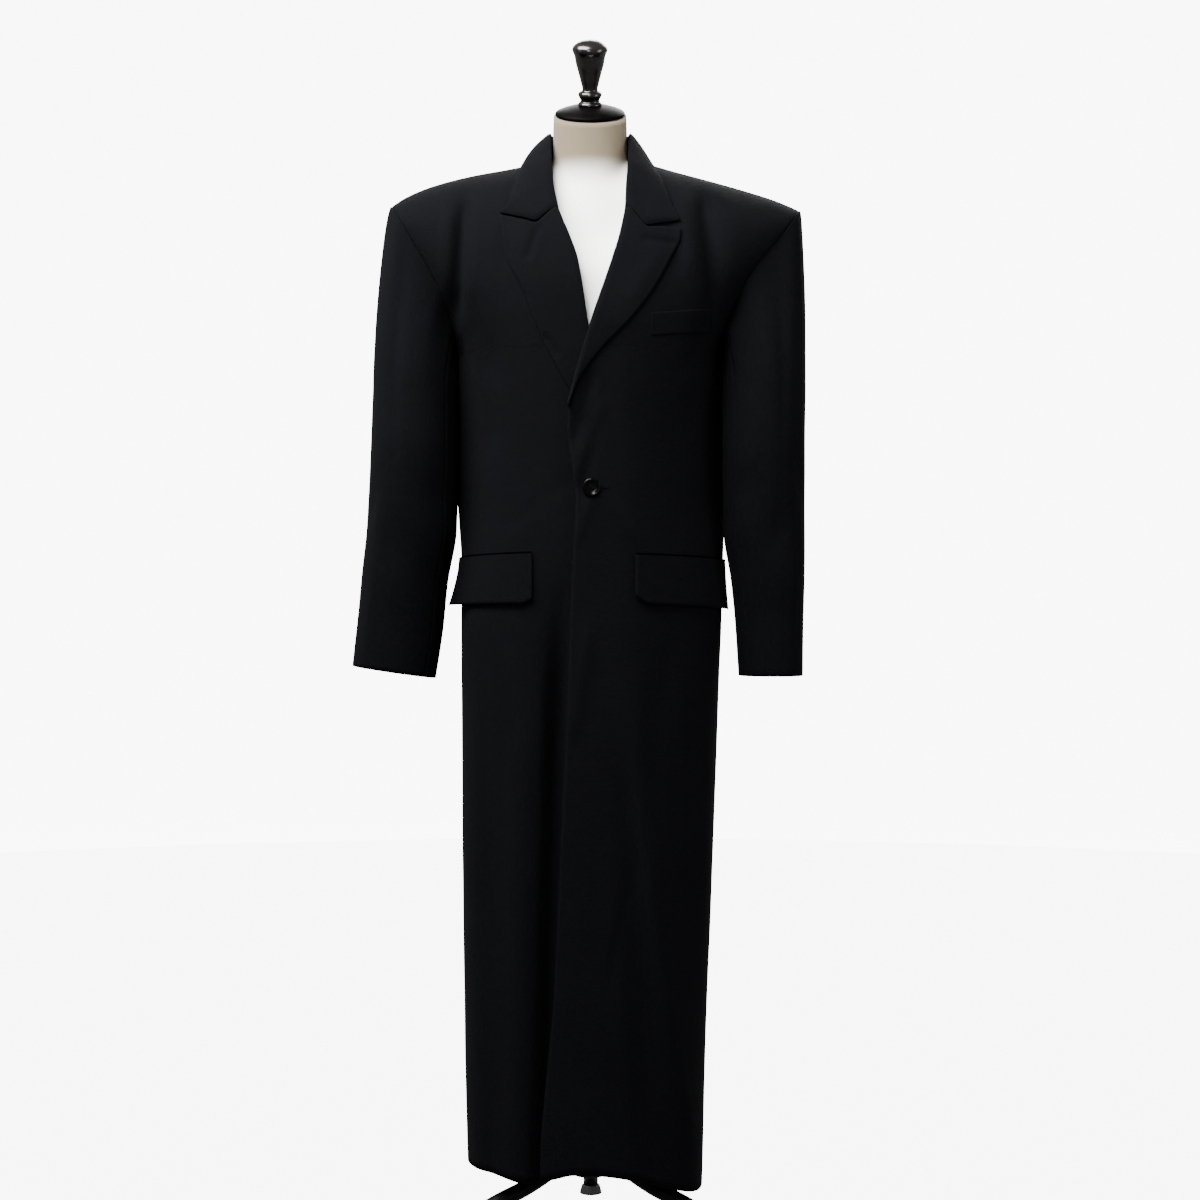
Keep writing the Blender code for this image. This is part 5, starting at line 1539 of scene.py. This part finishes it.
def add_cloth():
    """All sheets of the coat. Returns the search trees of the panels' outer faces."""
    facets = {}
    for side in SIDES:
        for face in ("front", "back"):
            outer, inner = panel_grids(face, side)
            facets[side + "_" + face] = facet_tree(outer)
            add_sheet(side + "_" + face, outer, inner)
        outer, inner = sleeve_grids(side, BACK_SEAM_ROW - 2 * UPPER_ROWS, FRONT_SEAM_ROW)
        add_sheet(side + "_top_sleeve", outer, inner)
        outer, inner = sleeve_grids(side, FRONT_SEAM_ROW, BACK_SEAM_ROW)
        add_sheet(side + "_under_sleeve", outer, inner)
        flip = -SIDES[side]
        lapel = pinched(side, refine_grid(lapel_grid(facets, side)))
        add_sheet(side + "_lapel", lapel, thicken(lapel, THIN_WALL, flip))
        add_flap(side + "_pocket_flap", refine_grid(flap_grid(facets, side)), flip)
    for name, grid, wall in (("collar_fall", collar_fall_grid(facets), -THIN_WALL),
                             ("collar_stand", collar_stand_grid(), THIN_WALL),
                             ("chest_welt", welt_grid(facets), -WELT_WALL)):
        fine = refine_grid(grid)
        add_sheet(name, fine, thicken(fine, wall, 1.0))
    return facets


def add_ring(work, radius, z, sides):
    """Level ring of vertices about the axis, or one vertex where it has next to no radius."""
    if radius < LEAST_RADIUS:
        return [work.verts.new((0.0, 0.0, z))]
    turns = [2.0 * math.pi * step / sides for step in range(sides)]
    return [work.verts.new((radius * math.cos(turn), radius * math.sin(turn), z))
            for turn in turns]


def join_rings(work, rings):
    """Faces between rings of vertices; a ring may be a single vertex."""
    for upper, lower in zip(rings, rings[1:]):
        for step in range(max(len(upper), len(lower))):
            corners = []
            for ring, place in ((upper, step), (upper, step + 1), (lower, step + 1), (lower, step)):
                vertex = ring[place % len(ring)]
                if vertex not in corners:
                    corners.append(vertex)
            if len(corners) > 2:
                work.faces.new(corners)


def turned_mesh(name, profile, sides, sharp=False):
    """Turned body through a profile of radius and height, with fine steps unless it is sharp."""
    line = [Vector((radius, height, 0.0)) for radius, height in profile]
    fine = line if sharp else refine_line(line, False)
    work = bmesh.new()
    join_rings(work, [add_ring(work, point.x, point.y, sides) for point in fine])
    return closed_mesh(name, work)


def tube_mesh(name, points, radius, sides):
    """Round tube along a smooth line through points."""
    fine = refine_line(points, False)
    work = bmesh.new()
    rings = []
    first = None
    for i, point in enumerate(fine):
        along = (fine[min(i + 1, len(fine) - 1)] - fine[max(i - 1, 0)]).normalized()
        if first is None:
            first = along.orthogonal().normalized()
        else:
            first = (first - along * first.dot(along)).normalized()
        second = along.cross(first)
        ring = []
        for step in range(sides):
            turn = 2.0 * math.pi * step / sides
            out = first * math.cos(turn) + second * math.sin(turn)
            ring.append(work.verts.new(point + out * radius))
        rings.append(ring)
    join_rings(work, rings)
    work.faces.new(rings[0])
    work.faces.new(rings[-1])
    return closed_mesh(name, work)


def join_mesh(name, meshes):
    """One mesh from several."""
    work = bmesh.new()
    for mesh in meshes:
        work.from_mesh(mesh)
        bpy.data.meshes.remove(mesh)
    return plain_mesh(name, work)


def add_button():
    """Front button with its crossed thread."""
    back_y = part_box("front_button")[1][1] - AXIS.y
    spot = (Matrix.Translation((BUTTON_REACH, back_y, BUTTON_Z))
            @ Matrix.Rotation(math.radians(90.0), 4, "X"))
    profile = [(BUTTON_RADIUS * out, BUTTON_THICKNESS * up) for out, up in BUTTON_FACE]
    body = turned_mesh("button", profile, BUTTON_SIDES)
    body.transform(spot)
    settle("button", body, LOOKS["horn"], "button", "front_button")
    crown = Vector((0.0, 0.0, BUTTON_THICKNESS * THREAD_CROWN))
    foot_z = BUTTON_THICKNESS * THREAD_FOOT
    threads = []
    for across, up in ((-THREAD_SPREAD, THREAD_SPREAD), (THREAD_SPREAD, -THREAD_SPREAD)):
        start = Vector((across, up, foot_z))
        end = Vector((-across, -up, foot_z))
        line = [start, start.lerp(crown, THREAD_BEND), end.lerp(crown, THREAD_BEND), end]
        threads.append(tube_mesh("thread", line, THREAD_RADIUS, THREAD_SIDES))
    thread = join_mesh("button_thread", threads)
    thread.transform(spot)
    settle("button_thread", thread, LOOKS["thread"], "cloth")


def add_buttonhole(facets):
    """Worked end of the buttonhole, which shows beside the button."""
    stitches = []
    for shift in (-STITCH_SHIFT, STITCH_SHIFT):
        line = []
        for step in range(STITCH_STEPS + 1):
            reach = BUTTON_REACH + mix(*BUTTONHOLE, step / STITCH_STEPS)
            line.append(on_coat(facets, "front", "left", reach, BUTTON_Z + shift, STITCH_LIFT))
        stitches.append(tube_mesh("stitch", line, STITCH_RADIUS, THREAD_SIDES))
    settle("buttonhole", join_mesh("buttonhole", stitches), LOOKS["thread"], "cloth")


def form_mesh():
    """Closed torso with its neck, with UVs in metres along the linen."""
    rings = refine_grid(form_grid(), True)
    down = running([ring[0] for ring in rings])
    work = bmesh.new()
    layer = work.loops.layers.uv.new("Cloth")
    loops = [[work.verts.new(point) for point in ring] for ring in rings]
    for r in range(len(rings) - 1):
        across = running(rings[r] + [rings[r][0]])
        for c in range(len(rings[r])):
            after = (c + 1) % len(rings[r])
            made = work.faces.new((loops[r][c], loops[r][after],
                                   loops[r + 1][after], loops[r + 1][c]))
            spots = ((across[c], down[r]), (across[c + 1], down[r]),
                     (across[c + 1], down[r + 1]), (across[c], down[r + 1]))
            for loop, spot in zip(made.loops, spots):
                loop[layer].uv = spot
    work.faces.new(loops[0])
    work.faces.new(loops[-1])
    return closed_mesh("form", work)


def add_form():
    """Torso of the form, and the cap and knob on its neck."""
    settle("form", form_mesh(), LOOKS["linen"], "linen", "form_torso")
    seat = Matrix.Translation(CAP_CENTRE) @ Matrix.Rotation(NECK_TILT, 4, "X")
    cap = turned_mesh("cap", CAP_PROFILE, CAP_SIDES, sharp=True)
    cap.transform(seat)
    soften(settle("cap", cap, LOOKS["cap"], "black_wood", "neck_cap"), CAP_SOFTNESS)
    top = turned_mesh("knob", KNOB, KNOB_SIDES)
    top.transform(seat @ Matrix.Translation((0.0, 0.0, KNOB_SEAT)))
    settle("turned_knob", top, LOOKS["wood"], "black_wood", "knob")


def soften(made, width):
    """Small rounded edges."""
    bevel = made.modifiers.new("Soft edges", "BEVEL")
    bevel.width = width
    bevel.segments = SOFT_STEPS
    bevel.limit_method = "ANGLE"
    bevel.angle_limit = SOFT_ANGLE


def add_leg(number, turn):
    """One leg with its pad."""
    spin = Matrix.Rotation(math.radians(turn), 4, "Z")
    leg = tube_mesh("leg", [Vector((row.reach, 0.0, row.z)) for row in LEG], LEG_RADIUS, LEG_SIDES)
    leg.transform(spin)
    settle("stand_leg_%d" % number, leg, LOOKS["metal"], "black_metal", "leg_%d" % number)
    profile = ((0.0, PAD_HEIGHT), (PAD_RADIUS * PAD_TAPER, PAD_HEIGHT), (PAD_RADIUS, 0.0), (0.0, 0.0))
    pad = turned_mesh("pad", profile, STAND_SIDES, sharp=True)
    pad.transform(spin @ Matrix.Translation((LEG[-1].reach, 0.0, 0.0)))
    made = settle("stand_pad_%d" % number, pad, LOOKS["rubber"], "black_metal",
                  "foot_pad_%d" % number)
    soften(made, STAND_SOFTNESS)


def add_stand():
    """Pole, hub, legs and pads."""
    foot = HUB_TOP_Z + SEAM_GAP
    top = FORM[-1].side_z - SEAM_GAP
    profile = ((0.0, top), (POLE_RADIUS, top), (POLE_RADIUS, foot), (0.0, foot))
    pole = turned_mesh("pole", profile, STAND_SIDES, sharp=True)
    settle("stand_pole", pole, LOOKS["metal"], "black_metal", "pole")
    hub = turned_mesh("hub", HUB_PROFILE, STAND_SIDES, sharp=True)
    soften(settle("stand_hub", hub, LOOKS["metal"], "black_metal", "base_hub"), STAND_SOFTNESS)
    for number, turn in enumerate(LEG_TURNS, start=1):
        add_leg(number, turn)


def add_backdrop():
    """Round pale floor that curves up into a pale wall, all one sheet."""
    work = bmesh.new()
    rings = [add_ring(work, reach, z, BACKDROP_SIDES) for reach, z in BACKDROP]
    work.faces.new(rings[0])
    join_rings(work, rings)
    mesh = plain_mesh("backdrop", work)
    mesh.shade_smooth()
    material, shader = fresh_material("backdrop")[:2]
    grey = (BACKDROP_GREY, BACKDROP_GREY, BACKDROP_GREY, 1.0)
    set_inputs(shader, {"Base Color": grey, "Roughness": BACKDROP_ROUGHNESS,
                        "Specular IOR Level": 0.0, "Emission Color": (1.0, 1.0, 1.0, 1.0),
                        "Emission Strength": BACKDROP_GLOW})
    mesh.materials.append(material)
    made = bpy.data.objects.new("backdrop", mesh)
    made.visible_diffuse = False
    made.visible_glossy = False
    made.visible_shadow = False
    bpy.context.scene.collection.objects.link(made)


def add_light(light):
    """Soft rectangular studio light aimed at a point."""
    data = bpy.data.lights.new(light.name, "AREA")
    data.shape = "RECTANGLE"
    data.size = light.width
    data.size_y = light.height
    data.energy = light.power
    made = bpy.data.objects.new(light.name, data)
    made.location = light.spot
    way = Vector(light.aim) - Vector(light.spot)
    made.rotation_euler = way.to_track_quat("-Z", "Y").to_euler()
    bpy.context.scene.collection.objects.link(made)


def add_lights():
    """Soft light from above with weaker side and front light, and an even pale surround."""
    world = bpy.data.worlds.new("Studio")
    world.use_nodes = True
    set_inputs(world.node_tree.nodes["Background"],
               {"Color": (1.0, 1.0, 1.0, 1.0), "Strength": SURROUND_STRENGTH})
    bpy.context.scene.world = world
    for light in LIGHTS:
        add_light(light)


def add_camera():
    """Level camera straight in front, at the photograph's distance and height."""
    data = bpy.data.cameras.new("Camera")
    data.sensor_width = SENSOR
    data.lens = SENSOR * FOCAL_SHARE
    data.clip_end = CAMERA_END
    made = bpy.data.objects.new("Camera", data)
    made.location = (AXIS.x + CAMERA_SHIFT, AXIS.y - CAMERA_DISTANCE, CAMERA_Z)
    made.rotation_euler = (math.radians(90.0), 0.0, 0.0)
    bpy.context.scene.collection.objects.link(made)
    bpy.context.scene.camera = made


# Materials, from their dark to their light colour
LOOKS = {
    "cloth": cloth_material("black wool", (0.0006, 0.00063, 0.00086), (0.0017, 0.0018, 0.0025),
                            pitch=0.0013, bump=0.5, sheen=0.0020, roughness=0.85),
    "thread": cloth_material("black thread", (0.0003, 0.0003, 0.0003), (0.0009, 0.0009, 0.0010),
                             pitch=0.0006, bump=0.6, sheen=0.002, roughness=0.55),
    # Painted shadow for the line along a flap's top: near-black, without specular.
    "jet_shadow": hard_material("painted shadow along a pocket's jet", (0.0002, 0.0002, 0.0002),
                         (0.0004, 0.0004, 0.0005), roughness=0.95, coat=0.0, grain=60.0,
                         specular=0.0),
    # The linen carries painted shade, darker towards the top of the neck.
    "linen": cloth_material("cream linen", (0.84, 0.82, 0.77), (0.96, 0.95, 0.93), pitch=0.0011,
                            bump=0.45, sheen=0.10, roughness=0.85, slub=0.9, fade=NECK_PAINTED_SHADE),
    "horn": hard_material("black horn", (0.0003, 0.0003, 0.0003), (0.0007, 0.0006, 0.0006),
                          roughness=0.14, coat=0.02, grain=60.0, specular=0.05),
    "wood": hard_material("black lacquered wood", (0.0015, 0.0013, 0.0012),
                          (0.006, 0.0045, 0.004), roughness=0.20, coat=0.15, grain=40.0,
                          specular=0.25, stretch=0.15),
    # Painted shade: the cap is a darker copy of the knob's black wood, so that it stays dark under
    # the light from above.
    "cap": hard_material("black wood with painted shade", (0.0004, 0.0003, 0.0003), (0.0012, 0.0010, 0.0010),
                         roughness=0.45, coat=0.0, grain=40.0, specular=0.01, stretch=0.15),
    "metal": hard_material("black paint", (0.0012, 0.0012, 0.0012), (0.0035, 0.0035, 0.0038),
                           roughness=0.40, coat=0.02, grain=120.0, specular=0.04),
    "rubber": hard_material("black rubber", (0.007, 0.007, 0.007), (0.012, 0.012, 0.012),
                            roughness=0.70, coat=0.0, grain=220.0, specular=0.35),
}

coat_facets = add_cloth()
add_button()
add_buttonhole(coat_facets)
add_form()
add_stand()
add_backdrop()
add_lights()
add_camera()
